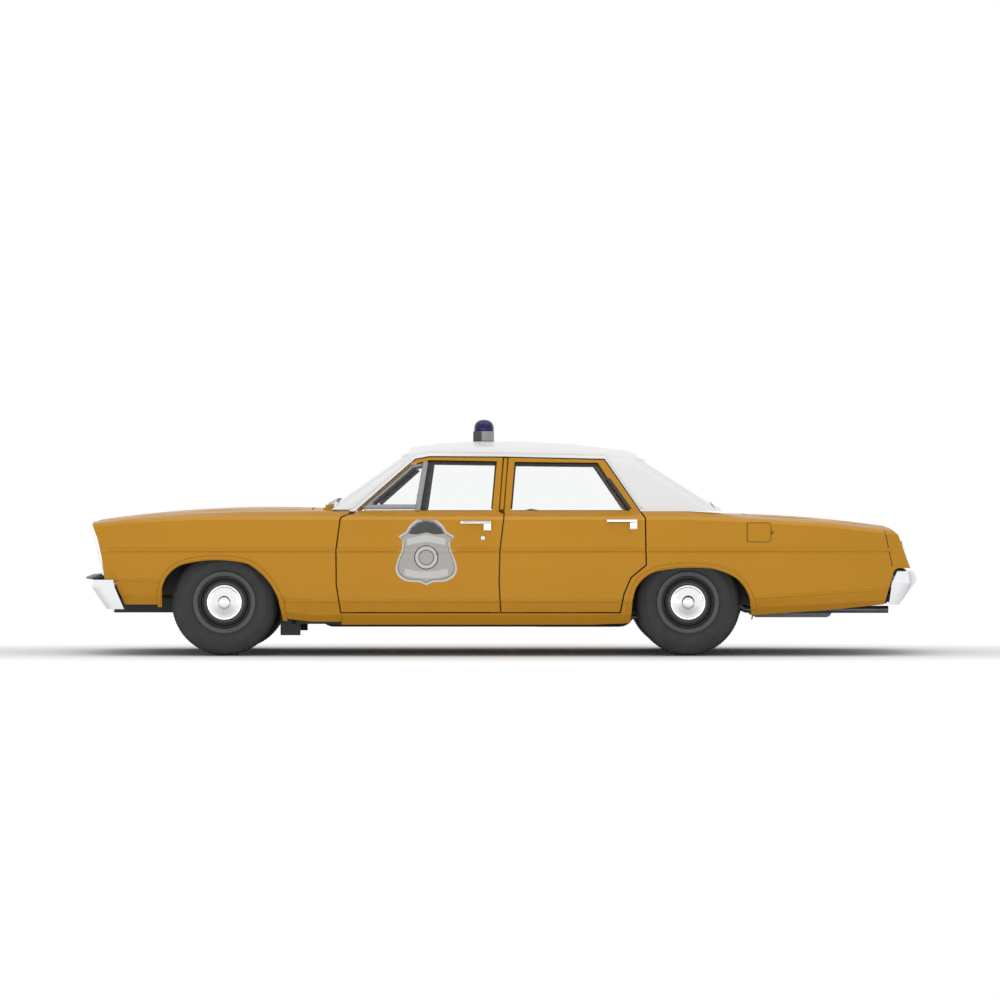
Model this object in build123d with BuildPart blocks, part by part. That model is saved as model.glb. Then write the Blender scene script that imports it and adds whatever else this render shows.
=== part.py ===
"""Four-door patrol sedan with a roof beacon, as an assembly of body panels, doors, lids, glass and running gear.

Frame: +X forward, +Y left, +Z up, ground at Z = 0, millimetres.
"""

import os
from collections import namedtuple
from math import asin, cos, degrees, radians, sin, sqrt, tan

from build123d import *

os.makedirs("parts", exist_ok=True)

# Running gear
wheelbase = 3023
front_axle_x = 1797
rear_axle_x = front_axle_x - wheelbase
track_half = 787
tyre_radius = 348
tyre_width = 200
tread_half = 68
tread_crown = 13
bead_radius = 196
rim_lip = 8
rim_well = 24
disc_thick = 9
hubcap_radius = 114
hubcap_dish = 34
spindle_radius = 30
spindle_length = 78
kingpin_y = 740
kingpin_radius = 12
steer_arm = 90
tie_rod_z = 235
tie_rod_radius = 12
tie_pin_radius = 9
backing_radius = 112

# Fits
running = 0.3
seam = 9
lid_seam = 11
glass_thick = 6
pin_radius = 4.5
eye_wall = 5.5

# Body sheet
fender_wall = 14
quarter_wall = 25
roof_wall = 24
bead_z = 690
bead_half = 18
bead_proud = 4
rocker_tuck = 80
fold_tuck = 38
lower_bead_tuck = 16
lower_bead = 19
shoulder_tuck = 40
shoulder_drop = 22
belt_tuck = 105
belt_z = 942
arch_lip = 28
arch_lip_proud = 5

# Doors
door_skin = 30
door_inner_y = 850
door_rabbet = 30
door_frame_depth = 38
hinge_setback = 110
hinge_tuck = 30
hinge_heights = (440, 800)
hinge_slot = 54
hinge_strap = 26
post_outer_y = 828
post_inner_y = 786
pillar_strip = 22
door_bottom_z = 283

# Greenhouse: the side leans in above the belt
lean = 0.5085
crown_drop = 43
corner_drop = 54
corner_run = 78
corner_bulge_y = 6.8
corner_bulge_z = 9.7
greenhouse_foot_z = 780
windshield_top_x = 600
windshield_foot_half = 846
windshield_head_half = 660
rear_glass_x = (-905, -1400)
rear_glass_half = (640, 800)

# Hood and trunk lid: shallow patches, curved both ways
hood_peak_x, hood_peak_z, hood_sweep, hood_crown = 1500, 971, 8000, 13
hood_half, hood_front_half, hood_rear_x, hood_front_x = 722, 694, 1235, 2640
hood_thick = 25
deck_peak_x, deck_peak_z, deck_sweep, deck_crown = -1400, 928, 8000, 10
lid_half, lid_front_x, lid_rear_x = 730, -1613, -2532
lid_thick = 25
lid_hinge_setback = 100
lid_hinge_drop = 34
deck_front_x = -1462

# Beacon on the roof
beacon_x = 107
beacon_radius = 67
beacon_base_height = 66
beacon_dome_height = 78


def patch_z(x, peak_x, peak_z, sweep):
    """Height of a lid's centre line at x."""
    return peak_z - sweep + sqrt(sweep**2 - (x - peak_x) ** 2)


Station = namedtuple("Station", "x half_width z_bottom z_fold z_low z_shoulder z_belt y_top z_top")


def nose_row(x, half_width, z_bottom, z_fold, z_low, z_shoulder, z_belt):
    """A row ahead of the cowl, whose top meets the hood's edge."""
    top = patch_z(x, hood_peak_x, hood_peak_z, hood_sweep) - hood_crown
    return Station(x, half_width, z_bottom, z_fold, z_low, z_shoulder, z_belt, hood_half + seam, top)


def tail_row(x, half_width, z_bottom, z_fold, z_low, z_shoulder, z_belt):
    """A row behind the rear window, whose top meets the trunk lid's edge."""
    top = patch_z(x, deck_peak_x, deck_peak_z, deck_sweep) - deck_crown
    return Station(x, half_width, z_bottom, z_fold, z_low, z_shoulder, z_belt, lid_half + seam, top)


# Body side, front to back: x, half_width, z_bottom, z_fold, z_low, z_shoulder, z_belt, y_top, z_top
STATIONS = [
    nose_row(2665, 925, 318, 400, 492, 858, 866),
    nose_row(2420, 950, 318, 400, 492, 888, 900),
    nose_row(2040, 972, 318, 398, 490, 906, 925),
    nose_row(1600, 983, 250, 318, 420, 910, 938),
    Station(1225, 988, 204, 267, 369, 909, belt_z, hood_half + seam, 953),
    Station(900, 989, 204, 267, 369, 909, belt_z, hood_half + seam, 950),
    Station(0, 990, 204, 267, 369, 909, belt_z, hood_half + seam, belt_z),
    Station(-600, 990, 204, 267, 369, 909, belt_z, lid_half + seam, belt_z),
    Station(-1225, 988, 232, 290, 372, 908, belt_z, lid_half + seam, belt_z),
    Station(-1450, 984, 250, 306, 376, 902, 926, lid_half + seam, 930),
    tail_row(-1600, 981, 264, 316, 381, 895, 906),
    tail_row(-2100, 966, 296, 340, 408, 866, 880),
    tail_row(-2540, 944, 336, 366, 437, 815, 828),
    tail_row(-2680, 930, 348, 374, 446, 793, 806),
]
NOSE = STATIONS[:6]
MIDDLE = STATIONS[4:9]
TAIL = STATIONS[7:]

# Side-view outlines of (x, z), along the middle of each seam
FRONT_DOOR = [
    (-5, door_bottom_z), (6, 482), (0, bead_z), (-28, 925), (5, 944), (-23, 1297), (465, 1300), (555, 1282),
    (959, 926), (997, 922), (1038, 899), (1066, bead_z), (1064, 466), (1036, door_bottom_z),
]
REAR_DOOR = [
    (-5, door_bottom_z), (6, 482), (0, bead_z), (-28, 925), (-25, 944), (-53, 1297), (-684, 1282),
    (-912, 945), (-945, 899), (-950, 593), (-851, 511), (-806, 406), (-782, door_bottom_z),
]
ROOF_DOORWAY = [
    (959, 926), (555, 1282), (465, 1300), (-23, 1297), (-684, 1282), (-912, 945), (-912, 600), (959, 600),
]
FRONT_WINDOW = [(50, 946), (20, 1270), (471, 1278), (582, 1246), (925, 946)]
REAR_WINDOW = [(-845, 946), (-640, 1260), (-96, 1266), (-68, 946)]
VENT_BAR = [(521, 930), (470, 1290), (500, 1290), (554, 930)]
FENDER_SIDE = [
    (1034, 150), (1034, 290), (985, 290), (985, 1100), (2658, 1100), (2658, 866), (2617, 756), (2593, 645),
    (2573, 490), (2508, 487), (2437, 316), (2437, 150),
]
QUARTER_SIDE = [
    (-700, 279.3), (-700, 1100), (-2523, 1100), (-2526, 840), (-2588, 573), (-2564, 557), (-2534, 452),
    (-2502, 335), (-2502, 150), (-1500, 150), (-1500, 279.3),
]
TAIL_CAP_SIDE = [
    (-2523.3, 1100), (-2526.3, 840), (-2588.3, 573), (-2671, 573), (-2638, 658), (-2593, 788), (-2530, 846),
]
ROCKER_SIDE = [(1031, 150), (1031, 279), (-1200, 279), (-1200, 150)]

# Wheel openings: a leg up, three arcs (middle, end), a leg down
FRONT_ARCH = [(1395, 150), (1440, 365), (1520, 505), (1640, 602), (1840, 626), (2039, 603), (2150, 540),
              (2200, 430), (2206, 150)]
REAR_ARCH = [(-1655, 150), (-1622, 378), (-1555, 490), (-1400, 567), (-1212, 577), (-1023, 554), (-905, 475),
             (-860, 345), (-842, 150)]


def side_prism(outline, y_from, y_to, grow=0):
    """Prism of a side-view outline between two planes of y, its edge moved out by grow."""
    with BuildPart() as prism:
        with BuildSketch(Plane.XZ.offset(-y_from)):
            with BuildLine():
                Polyline(*outline, close=True)
            make_face()
            if grow:
                offset(amount=grow, kind=Kind.INTERSECTION)
        extrude(amount=y_from - y_to)
    return prism.part


def arch_prism(arch, y_from, y_to, grow=0):
    """Prism of a wheel opening between two planes of y."""
    with BuildPart() as prism:
        with BuildSketch(Plane.XZ.offset(-y_from)):
            with BuildLine():
                Line(arch[0], arch[1])
                for n in (1, 3, 5):
                    ThreePointArc(arch[n], arch[n + 1], arch[n + 2])
                Line(arch[7], arch[8])
                Line(arch[8], arch[0])
            make_face()
            if grow:
                offset(amount=grow, kind=Kind.INTERSECTION)
        extrude(amount=y_from - y_to)
    return prism.part


def plan_prism(outline, z_from, z_to):
    """Prism of a plan outline of (x, y) between two heights."""
    with BuildPart() as prism:
        with BuildSketch(Plane.XY.offset(z_from)):
            with BuildLine():
                Polyline(*outline, close=True)
            make_face()
        extrude(amount=z_to - z_from)
    return prism.part


def cross_prism(outline, x_from, x_to):
    """Prism of a front-view outline of (y, z) between two planes of x."""
    with BuildPart() as prism:
        with BuildSketch(Plane.YZ.offset(x_from)):
            with BuildLine():
                Polyline(*outline, close=True)
            make_face()
        extrude(amount=x_to - x_from)
    return prism.part


def body_side(rows, inset=0, inner=None, belted=False, foot=0):
    """Left body side, from its skin moved in by inset to the plane y = inner, or to the lids' seams."""
    with BuildPart() as block:
        for row in rows:
            skin = row.half_width - inset
            y_end = row.y_top if inner is None else inner
            z_end = (row.z_belt if belted else row.z_top) - inset
            outline = [
                (y_end, row.z_bottom - foot),
                (skin - rocker_tuck, row.z_bottom - foot),
                (skin - fold_tuck, row.z_fold),
                (skin - lower_bead_tuck - bead_proud, row.z_low - lower_bead),
                (skin - lower_bead_tuck, row.z_low),
                (skin - bead_proud, bead_z - bead_half),
                (skin, bead_z - bead_half / 2),
                (skin, bead_z + bead_half / 2),
                (skin - bead_proud, bead_z + bead_half),
                (skin - bead_half, row.z_shoulder - shoulder_drop),
                (skin - shoulder_tuck, row.z_shoulder - inset),
                (skin - belt_tuck, row.z_belt - inset),
                (y_end, z_end),
            ]
            with BuildSketch(Plane.YZ.offset(row.x)):
                with BuildLine():
                    Polyline(*outline, close=True)
                make_face()
        loft(ruled=True)
    return block.part


# Greenhouse centre line, front to back: x, z
ROOF_LINE = [
    (1100, 1000), (windshield_top_x, 1350), (588, 1366), (400, 1393), (160, 1407), (-160, 1407), (-500, 1389),
    (-870, 1341), (-1462, 964),
]


def greenhouse(inset=0):
    """Roof with the windshield and rear-window planes run down to the belt, moved in by inset."""
    with BuildPart() as block:
        for x, z_centre in ROOF_LINE:
            z_top = z_centre - inset
            z_corner = z_top - crown_drop
            z_edge = z_corner - corner_drop
            side = belt_y - inset * sqrt(1 + lean**2)
            y_edge = side - (z_edge - belt_z) * lean
            y_corner = y_edge - corner_run
            y_foot = side - (greenhouse_foot_z - belt_z) * lean
            y_bulge = (y_corner + y_edge) / 2 + corner_bulge_y
            z_bulge = (z_corner + z_edge) / 2 + corner_bulge_z
            with BuildSketch(Plane.YZ.offset(x)):
                with BuildLine():
                    Line((-y_foot, greenhouse_foot_z), (-y_edge, z_edge))
                    ThreePointArc((-y_edge, z_edge), (-y_bulge, z_bulge), (-y_corner, z_corner))
                    ThreePointArc((-y_corner, z_corner), (0, z_top), (y_corner, z_corner))
                    ThreePointArc((y_corner, z_corner), (y_bulge, z_bulge), (y_edge, z_edge))
                    Line((y_edge, z_edge), (y_foot, greenhouse_foot_z))
                    Line((y_foot, greenhouse_foot_z), (-y_foot, greenhouse_foot_z))
                make_face()
        loft(ruled=True)
    return block.part


belt_y = 990 - belt_tuck


def side_slab(shift_from, shift_to, z_from=930, z_to=1345):
    """Leaning slab of the left side above the belt, between two depths behind its outer plane."""
    outline = []
    for shift, z in ((shift_from, z_from), (shift_from, z_to), (shift_to, z_to), (shift_to, z_from)):
        outline.append((belt_y - shift - (z - belt_z) * lean, z))
    return cross_prism(outline, -1600, 1300)


def lid_patch(peak_x, peak_z, sweep, crown, half, thick, x_from, x_to):
    """Lid panel curved along and across, between two planes of x."""
    start = asin((x_from - peak_x) / sweep)
    turn = asin((x_to - peak_x) / sweep) - start
    plane = Plane(
        origin=(peak_x + sweep * sin(start), 0, peak_z - sweep + sweep * cos(start)),
        x_dir=(0, 1, 0),
        z_dir=(cos(start), 0, -sin(start)),
    )
    with BuildPart() as patch:
        with BuildSketch(plane):
            with BuildLine():
                ThreePointArc((-half, -crown), (0, 0), (half, -crown))
                Line((half, -crown), (half, -crown - thick))
                ThreePointArc((half, -crown - thick), (0, -thick), (-half, -crown - thick))
                Line((-half, -crown - thick), (-half, -crown))
            make_face()
        revolve(axis=Axis((peak_x, 0, peak_z - sweep), (0, 1, 0)), revolution_arc=degrees(turn))
    return patch.part


def box_part(x_from, x_to, y_from, y_to, z_from, z_to):
    """Plain box between six planes."""
    with BuildPart() as block:
        with BuildSketch(Plane.XY.offset(z_from)):
            with Locations(((x_from + x_to) / 2, (y_from + y_to) / 2)):
                Rectangle(x_to - x_from, y_to - y_from)
        extrude(amount=z_to - z_from)
    return block.part


def rod_part(centre, direction, radius, length):
    """Plain round bar from a point along a direction."""
    with BuildPart() as bar:
        with BuildSketch(Plane(origin=centre, z_dir=direction)):
            Circle(radius)
        extrude(amount=length)
    return bar.part


def save(piece, name):
    """Label a finished piece and write its file."""
    piece.label = name
    export_step(piece, f"parts/{name}.step")


# Shared blocks and cutters
nose_block = body_side(NOSE)
middle_block = body_side(MIDDLE, inner=door_inner_y, belted=True)
middle_core = body_side(MIDDLE, inset=door_skin, inner=door_inner_y, belted=True)
tail_block = body_side(TAIL)
tail_core = body_side(TAIL, inset=quarter_wall, inner=640, foot=60)
front_door_hole = side_prism(FRONT_DOOR, 500, 1100, seam / 2)
rear_door_hole = side_prism(REAR_DOOR, 500, 1100, seam / 2)
front_arch_hole = arch_prism(FRONT_ARCH, 500, 1100)
rear_arch_hole = arch_prism(REAR_ARCH, 500, 1100)
front_arch_ring = arch_prism(FRONT_ARCH, 600, 1100, arch_lip)
rear_arch_ring = arch_prism(REAR_ARCH, 600, 1100, arch_lip)
roof_block = greenhouse()
roof_core = greenhouse(roof_wall)

# Front fenders: shell open below and inside, with a rolled lip round the wheel
hood_hinge_x = hood_rear_x + lid_hinge_setback
hood_hinge_z = patch_z(hood_hinge_x, hood_peak_x, hood_peak_z, hood_sweep) - hood_crown - lid_hinge_drop
fender_lip = body_side(NOSE, inset=-arch_lip_proud)
fender_core = body_side(NOSE, inset=fender_wall, inner=620, foot=60)
fender_outline = side_prism(FENDER_SIDE, 600, 1100)
hinge_eye = pin_radius + running
lid_eye_y = hood_half + seam + 14
with BuildPart() as left_fender:
    add(fender_lip)
    add(front_arch_ring, mode=Mode.INTERSECT)
    add(nose_block)
    add(fender_core, mode=Mode.SUBTRACT)
    add(fender_outline, mode=Mode.INTERSECT)
    add(front_door_hole, mode=Mode.SUBTRACT)
    add(front_arch_hole, mode=Mode.SUBTRACT)
    add(box_part(hood_hinge_x - 16, hood_hinge_x + 16, lid_eye_y, lid_eye_y + 14, hood_hinge_z - 14, 948))
    add(
        rod_part((hood_hinge_x, hood_half + seam - 1, hood_hinge_z), (0, 1, 0), hinge_eye, lid_eye_y + 16 - hood_half - seam),
        mode=Mode.SUBTRACT,
    )
with BuildPart() as front_fenders:
    add(left_fender.part)
    mirror(about=Plane.XZ)
save(front_fenders.part, "front_fenders")

# Fuel door, set flush in the left quarter
fuel_x = (-1762, -1603)
fuel_z = (743, 868)
fuel_gap = 6
fuel_thick = 11
fuel_recess = 18
fuel_pin_radius = 3
fuel_hinge_x = fuel_x[1] - 14
fuel_hinge_y = 960
fuel_hinge_tilt = 5
fuel_pin_axis = (0, -sin(radians(fuel_hinge_tilt)), cos(radians(fuel_hinge_tilt)))
fuel_pin_length = fuel_z[1] - fuel_z[0] + 20
fuel_pin_foot = Vector(fuel_hinge_x, fuel_hinge_y, sum(fuel_z) / 2) - Vector(*fuel_pin_axis) * (fuel_pin_length / 2)
FUEL_SIDE = [(fuel_x[0], fuel_z[0]), (fuel_x[0], fuel_z[1]), (fuel_x[1], fuel_z[1]), (fuel_x[1], fuel_z[0])]
with BuildPart() as fuel_pocket:
    add(body_side(TAIL, inset=-20))
    add(body_side(TAIL, inset=fuel_recess), mode=Mode.SUBTRACT)
    add(side_prism(FUEL_SIDE, 800, 1100), mode=Mode.INTERSECT)
with BuildPart() as fuel_door:
    add(tail_block)
    add(body_side(TAIL, inset=fuel_thick), mode=Mode.SUBTRACT)
    add(side_prism(FUEL_SIDE, 800, 1100, -fuel_gap), mode=Mode.INTERSECT)
    add(rod_part(fuel_pin_foot, fuel_pin_axis, fuel_pin_radius, fuel_pin_length))
save(fuel_door.part, "fuel_door")

# Quarter panels
lid_hinge_x = lid_front_x - lid_hinge_setback
lid_hinge_z = patch_z(lid_hinge_x, deck_peak_x, deck_peak_z, deck_sweep) - deck_crown - lid_hinge_drop
quarter_lip = body_side(TAIL, inset=-arch_lip_proud)
quarter_outline = side_prism(QUARTER_SIDE, 600, 1100)
with BuildPart() as right_quarter:
    add(quarter_lip)
    add(rear_arch_ring, mode=Mode.INTERSECT)
    add(tail_block)
    add(tail_core, mode=Mode.SUBTRACT)
    add(quarter_outline, mode=Mode.INTERSECT)
    add(rear_door_hole, mode=Mode.SUBTRACT)
    add(rear_arch_hole, mode=Mode.SUBTRACT)
    add(box_part(lid_hinge_x - 16, lid_hinge_x + 16, lid_eye_y + 8, lid_eye_y + 22, lid_hinge_z - 14, 900))
    add(
        rod_part((lid_hinge_x, lid_half + seam - 1, lid_hinge_z), (0, 1, 0), hinge_eye, lid_eye_y + 24 - lid_half - seam),
        mode=Mode.SUBTRACT,
    )
fuel_bore_foot = fuel_pin_foot - Vector(*fuel_pin_axis)
fuel_bore = rod_part(fuel_bore_foot, fuel_pin_axis, fuel_pin_radius + running, fuel_pin_length + 2)
with BuildPart() as left_quarter:
    add(right_quarter.part)
    add(fuel_pocket.part, mode=Mode.SUBTRACT)
    add(fuel_bore, mode=Mode.SUBTRACT)
with BuildPart() as quarter_panels:
    add(left_quarter.part)
    mirror(right_quarter.part, about=Plane.XZ)
save(quarter_panels.part, "quarter_panels")

# Roof with windshield and rear pillars, down to the belt
WINDSHIELD_FRONT = [
    (-windshield_foot_half, belt_z), (-windshield_head_half, 1310), (-windshield_head_half, 1450),
    (windshield_head_half, 1450), (windshield_head_half, 1310), (windshield_foot_half, belt_z),
]
windshield_hole = cross_prism(WINDSHIELD_FRONT, windshield_top_x, 1250)
REAR_GLASS_PLAN = [
    (rear_glass_x[0], -rear_glass_half[0]), (rear_glass_x[1], -rear_glass_half[1]),
    (rear_glass_x[1], rear_glass_half[1]), (rear_glass_x[0], rear_glass_half[0]),
]
rear_glass_hole = plan_prism(REAR_GLASS_PLAN, 900, 1500)
doorway = side_prism(ROOF_DOORWAY, 400, 1100, seam / 2)
with BuildPart() as roof_panel:
    add(roof_block)
    add(roof_core, mode=Mode.SUBTRACT)
    add(windshield_hole, mode=Mode.SUBTRACT)
    add(rear_glass_hole, mode=Mode.SUBTRACT)
    add(doorway, mode=Mode.SUBTRACT)
    add(mirror(doorway, about=Plane.XZ, mode=Mode.PRIVATE), mode=Mode.SUBTRACT)
    add(box_part(-2000, 985, -1100, 1100, 700, belt_z + running), mode=Mode.SUBTRACT)
    add(box_part(980, 1300, -1100, 1100, 700, 954), mode=Mode.SUBTRACT)
save(roof_panel.part, "roof_panel")

# Fixed glass, let into the roof's wall
glass_inset = 8
glass_sheet_outer = greenhouse(glass_inset)
glass_sheet_inner = greenhouse(glass_inset + glass_thick)
glass_foot_z = 958
glass_foot_taper = (windshield_foot_half - windshield_head_half) / (1310 - belt_z)
WINDSHIELD_GLASS = []
for y, z in WINDSHIELD_FRONT:
    half = abs(y) - running - max(glass_foot_z - z, 0) * glass_foot_taper
    WINDSHIELD_GLASS.append((half if y > 0 else -half, max(z, glass_foot_z)))
with BuildPart() as windshield:
    add(glass_sheet_outer)
    add(glass_sheet_inner, mode=Mode.SUBTRACT)
    add(cross_prism(WINDSHIELD_GLASS, windshield_top_x + running, 1250), mode=Mode.INTERSECT)
save(windshield.part, "windshield")
REAR_GLASS_PANE = []
for x, y in REAR_GLASS_PLAN:
    x_pane = x - running if x == rear_glass_x[0] else x + running
    REAR_GLASS_PANE.append((x_pane, y - running if y > 0 else y + running))
with BuildPart() as rear_window:
    add(glass_sheet_outer)
    add(glass_sheet_inner, mode=Mode.SUBTRACT)
    add(plan_prism(REAR_GLASS_PANE, 900, 1500), mode=Mode.INTERSECT)
save(rear_window.part, "rear_window")


# Side frames: rocker, hinge post and centre post, with the straps that carry the doors
front_hinge_x = 1066 - hinge_setback
rear_hinge_x = 6 - hinge_setback
hinge_y = 990 - hinge_tuck
strap_reach = hinge_y - post_outer_y + 2
eye_radius = pin_radius + running + eye_wall
rocker_block = body_side(MIDDLE, inner=post_inner_y, belted=True)
POST_UPPER = [(-42, 900), (-68, 1338), (-8, 1338), (22, 900)]
POST_STRIP = [(-11 - pillar_strip / 2, 954), (-38 - pillar_strip / 2, 1290), (-38 + pillar_strip / 2, 1290),
              (-11 + pillar_strip / 2, 954)]
with BuildPart() as left_frame:
    add(rocker_block)
    add(side_prism(ROCKER_SIDE, 600, 1100), mode=Mode.INTERSECT)
    add(rear_arch_hole, mode=Mode.SUBTRACT)
    add(box_part(930, 1180, post_inner_y, post_outer_y, 240, 925))
    add(box_part(-150, 60, post_inner_y, post_outer_y, 240, 925))
    upper = side_slab(80, 112, 890, 1345).intersect(side_prism(POST_UPPER, 400, 1100))
    add(upper)
    add(side_slab(8, 90, 920, 1345).intersect(side_prism(POST_STRIP, 400, 1100)))
    for hinge_x in (front_hinge_x, rear_hinge_x):
        for height in hinge_heights:
            add(
                box_part(
                    hinge_x - 7, hinge_x + 7, post_outer_y - 2, hinge_y, height - hinge_strap / 2,
                    height + hinge_strap / 2,
                )
            )
            add(rod_part((hinge_x, hinge_y, height - hinge_strap / 2), (0, 0, 1), eye_radius, hinge_strap))
            add(
                rod_part((hinge_x, hinge_y, height - hinge_strap), (0, 0, 1), hinge_eye, 2 * hinge_strap),
                mode=Mode.SUBTRACT,
            )
with BuildPart() as side_frames:
    add(left_frame.part)
    mirror(about=Plane.XZ)
save(side_frames.part, "side_frames")


# Door handles: x of the front end, z of the bar, length
handle_length = 197
handle_proud = 34
handle_bar = 20
HANDLES = {"front": (256, 870), "rear": (-694, 880)}


def make_door(outline, window, hinge_x, handle, bar=None):
    """Left door: skin, deeper inner pan with a rabbet round it, window frame and two hinge pins."""
    skin_outline = side_prism(outline, 500, 1100, -seam / 2)
    pan_outline = side_prism(outline, 500, 1100, -seam / 2 - door_rabbet)
    frame = side_slab(0, door_frame_depth).intersect(skin_outline)
    with BuildPart() as door:
        add(middle_core)
        add(pan_outline, mode=Mode.INTERSECT)
        add(box_part(hinge_x + 50, hinge_x + 200, 500, 1100, 0, 1500), mode=Mode.SUBTRACT)
        skin = middle_block.cut(middle_core).intersect(skin_outline)
        add(skin)
        add(frame)
        if bar is None:
            add(side_prism(window, 500, 1100), mode=Mode.SUBTRACT)
        else:
            add(side_prism(window, 500, 1100).cut(side_prism(bar, 500, 1100)), mode=Mode.SUBTRACT)
        for height in hinge_heights:
            add(
                box_part(
                    hinge_x - eye_radius - 4, hinge_x + 200, 700, hinge_y + eye_radius + 1.5,
                    height - hinge_slot / 2, height + hinge_slot / 2,
                ),
                mode=Mode.SUBTRACT,
            )
            add(rod_part((hinge_x, hinge_y, height - hinge_slot / 2 - 8), (0, 0, 1), pin_radius, hinge_slot + 16))
    x_front, z_bar = handle
    skin_y = 990 - bead_half
    with BuildPart() as grip:
        add(
            box_part(
                x_front - handle_length, x_front, skin_y + 8, skin_y + handle_proud, z_bar - handle_bar / 2,
                z_bar + handle_bar / 2,
            )
        )
        fillet(grip.edges().filter_by(Axis.X), 6)
        add(box_part(x_front - handle_length, x_front - handle_length + 46, skin_y - 30, skin_y + 26, z_bar - 50, z_bar))
        add(box_part(x_front - 24, x_front - 6, skin_y - 30, skin_y + 14, z_bar - 8, z_bar + 8))
        add(middle_block, mode=Mode.SUBTRACT)
        lift = Location((0, running, 0))
    return door.part, grip.part.moved(lift)


def make_pane(window, bar=None):
    """Left side glass for a window, in the middle of the frame's depth."""
    sheet = side_slab((door_frame_depth - glass_thick) / 2, (door_frame_depth + glass_thick) / 2)
    opening = side_prism(window, 500, 1100, -running)
    if bar is not None:
        opening = opening.cut(side_prism(bar, 400, 1200, running))
    return sheet.intersect(opening)


DOORS = {
    "front": (FRONT_DOOR, FRONT_WINDOW, front_hinge_x, VENT_BAR),
    "rear": (REAR_DOOR, REAR_WINDOW, rear_hinge_x, None),
}
for place, (outline, window, hinge_x, bar) in DOORS.items():
    door_shell, grip_solid = make_door(outline, window, hinge_x, HANDLES[place], bar)
    with BuildPart() as left_door:
        add(door_shell)
        add(grip_solid)
    save(left_door.part, f"door_{place}_left")
    with BuildPart() as right_door:
        mirror(left_door.part, about=Plane.XZ)
    save(right_door.part, f"door_{place}_right")
    with BuildPart() as left_pane:
        add(make_pane(window, bar))
    save(left_pane.part, f"glass_{place}_left")
    with BuildPart() as right_pane:
        mirror(left_pane.part, about=Plane.XZ)
    save(right_pane.part, f"glass_{place}_right")


# Hood and trunk lid, each with a pair of hinge lugs and pins under its edge
lug_thick = 14
pin_overlap = 12


def lid_hinges(half, eye_y, hinge_x, hinge_z):
    """Lugs and pins of a lid on both sides."""
    with BuildPart() as pair:
        add(box_part(hinge_x - 13, hinge_x + 13, half - lug_thick - 2, half - 2, hinge_z - 12, hinge_z + 15))
        add(rod_part((hinge_x, half - 8, hinge_z), (0, 1, 0), pin_radius, eye_y + pin_overlap - half + 8))
        mirror(about=Plane.XZ)
    return pair.part


HOOD_PLAN = [
    (hood_rear_x, -hood_half), (2350, -hood_half), (hood_front_x, -hood_front_half),
    (hood_front_x, hood_front_half), (2350, hood_half), (hood_rear_x, hood_half),
]
with BuildPart() as hood:
    add(
        lid_patch(
            hood_peak_x, hood_peak_z, hood_sweep, hood_crown, hood_half, hood_thick, hood_rear_x, hood_front_x
        )
    )
    add(plan_prism(HOOD_PLAN, 700, 1100), mode=Mode.INTERSECT)
    add(lid_hinges(hood_half, lid_eye_y, hood_hinge_x, hood_hinge_z))
save(hood.part, "hood")

LID_TAIL = [(-2500, 846), (lid_rear_x, 838), (-2592, 772), (-2574, 762), (-2520, 816), (-2500, 820)]
with BuildPart() as trunk_lid:
    add(lid_patch(deck_peak_x, deck_peak_z, deck_sweep, deck_crown, lid_half, lid_thick, lid_rear_x, lid_front_x))
    add(side_prism(LID_TAIL, -lid_half + 20, lid_half - 20))
    add(lid_hinges(lid_half, lid_eye_y + 8, lid_hinge_x, lid_hinge_z))
save(trunk_lid.part, "trunk_lid")

deck_side = lid_half + seam - running
with BuildPart() as rear_deck:
    add(
        lid_patch(
            deck_peak_x, deck_peak_z, deck_sweep, deck_crown, deck_side, lid_thick, lid_front_x + lid_seam,
            deck_front_x + 30,
        )
    )
save(rear_deck.part, "rear_deck")

COWL_PLINTH = [(1100.3, 938), (1100.3, 992), (1114, 992), (1158, 960), (1158, 938)]
cowl_side = hood_half + seam - running
with BuildPart() as cowl_panel:
    add(
        lid_patch(
            hood_peak_x, hood_peak_z, hood_sweep, hood_crown, cowl_side, hood_thick, 1100.3, hood_rear_x - lid_seam
        )
    )
    add(side_prism(COWL_PLINTH, -cowl_side + 10, cowl_side - 10))
save(cowl_panel.part, "cowl_panel")

# Nose: grille and stacked lamps stand on one plane that leans forward at its top
nose_foot_x, nose_foot_z, nose_lean = 2573, 490, 12.7
nose_set = 14
nose_depth = 40
nose_panel_thick = 12
grille_half, grille_foot, grille_head = 655, 40, 340
grille_rim, grille_bar, grille_bars = 22, 9, 7
lamp_y, lamp_radius, lamp_heights = 786, 73, (112, 272)
bezel_y, bezel_foot, bezel_head = (670, 893), 24, 352
bezel_margin = 9


def nose_plane(set_back):
    """Plane of the nose, moved back along its normal."""
    lean_angle = radians(nose_lean)
    return Plane(
        origin=(nose_foot_x - set_back * cos(lean_angle), 0, nose_foot_z + set_back * sin(lean_angle)),
        x_dir=(0, 1, 0),
        z_dir=(cos(lean_angle), 0, -sin(lean_angle)),
    )


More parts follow.
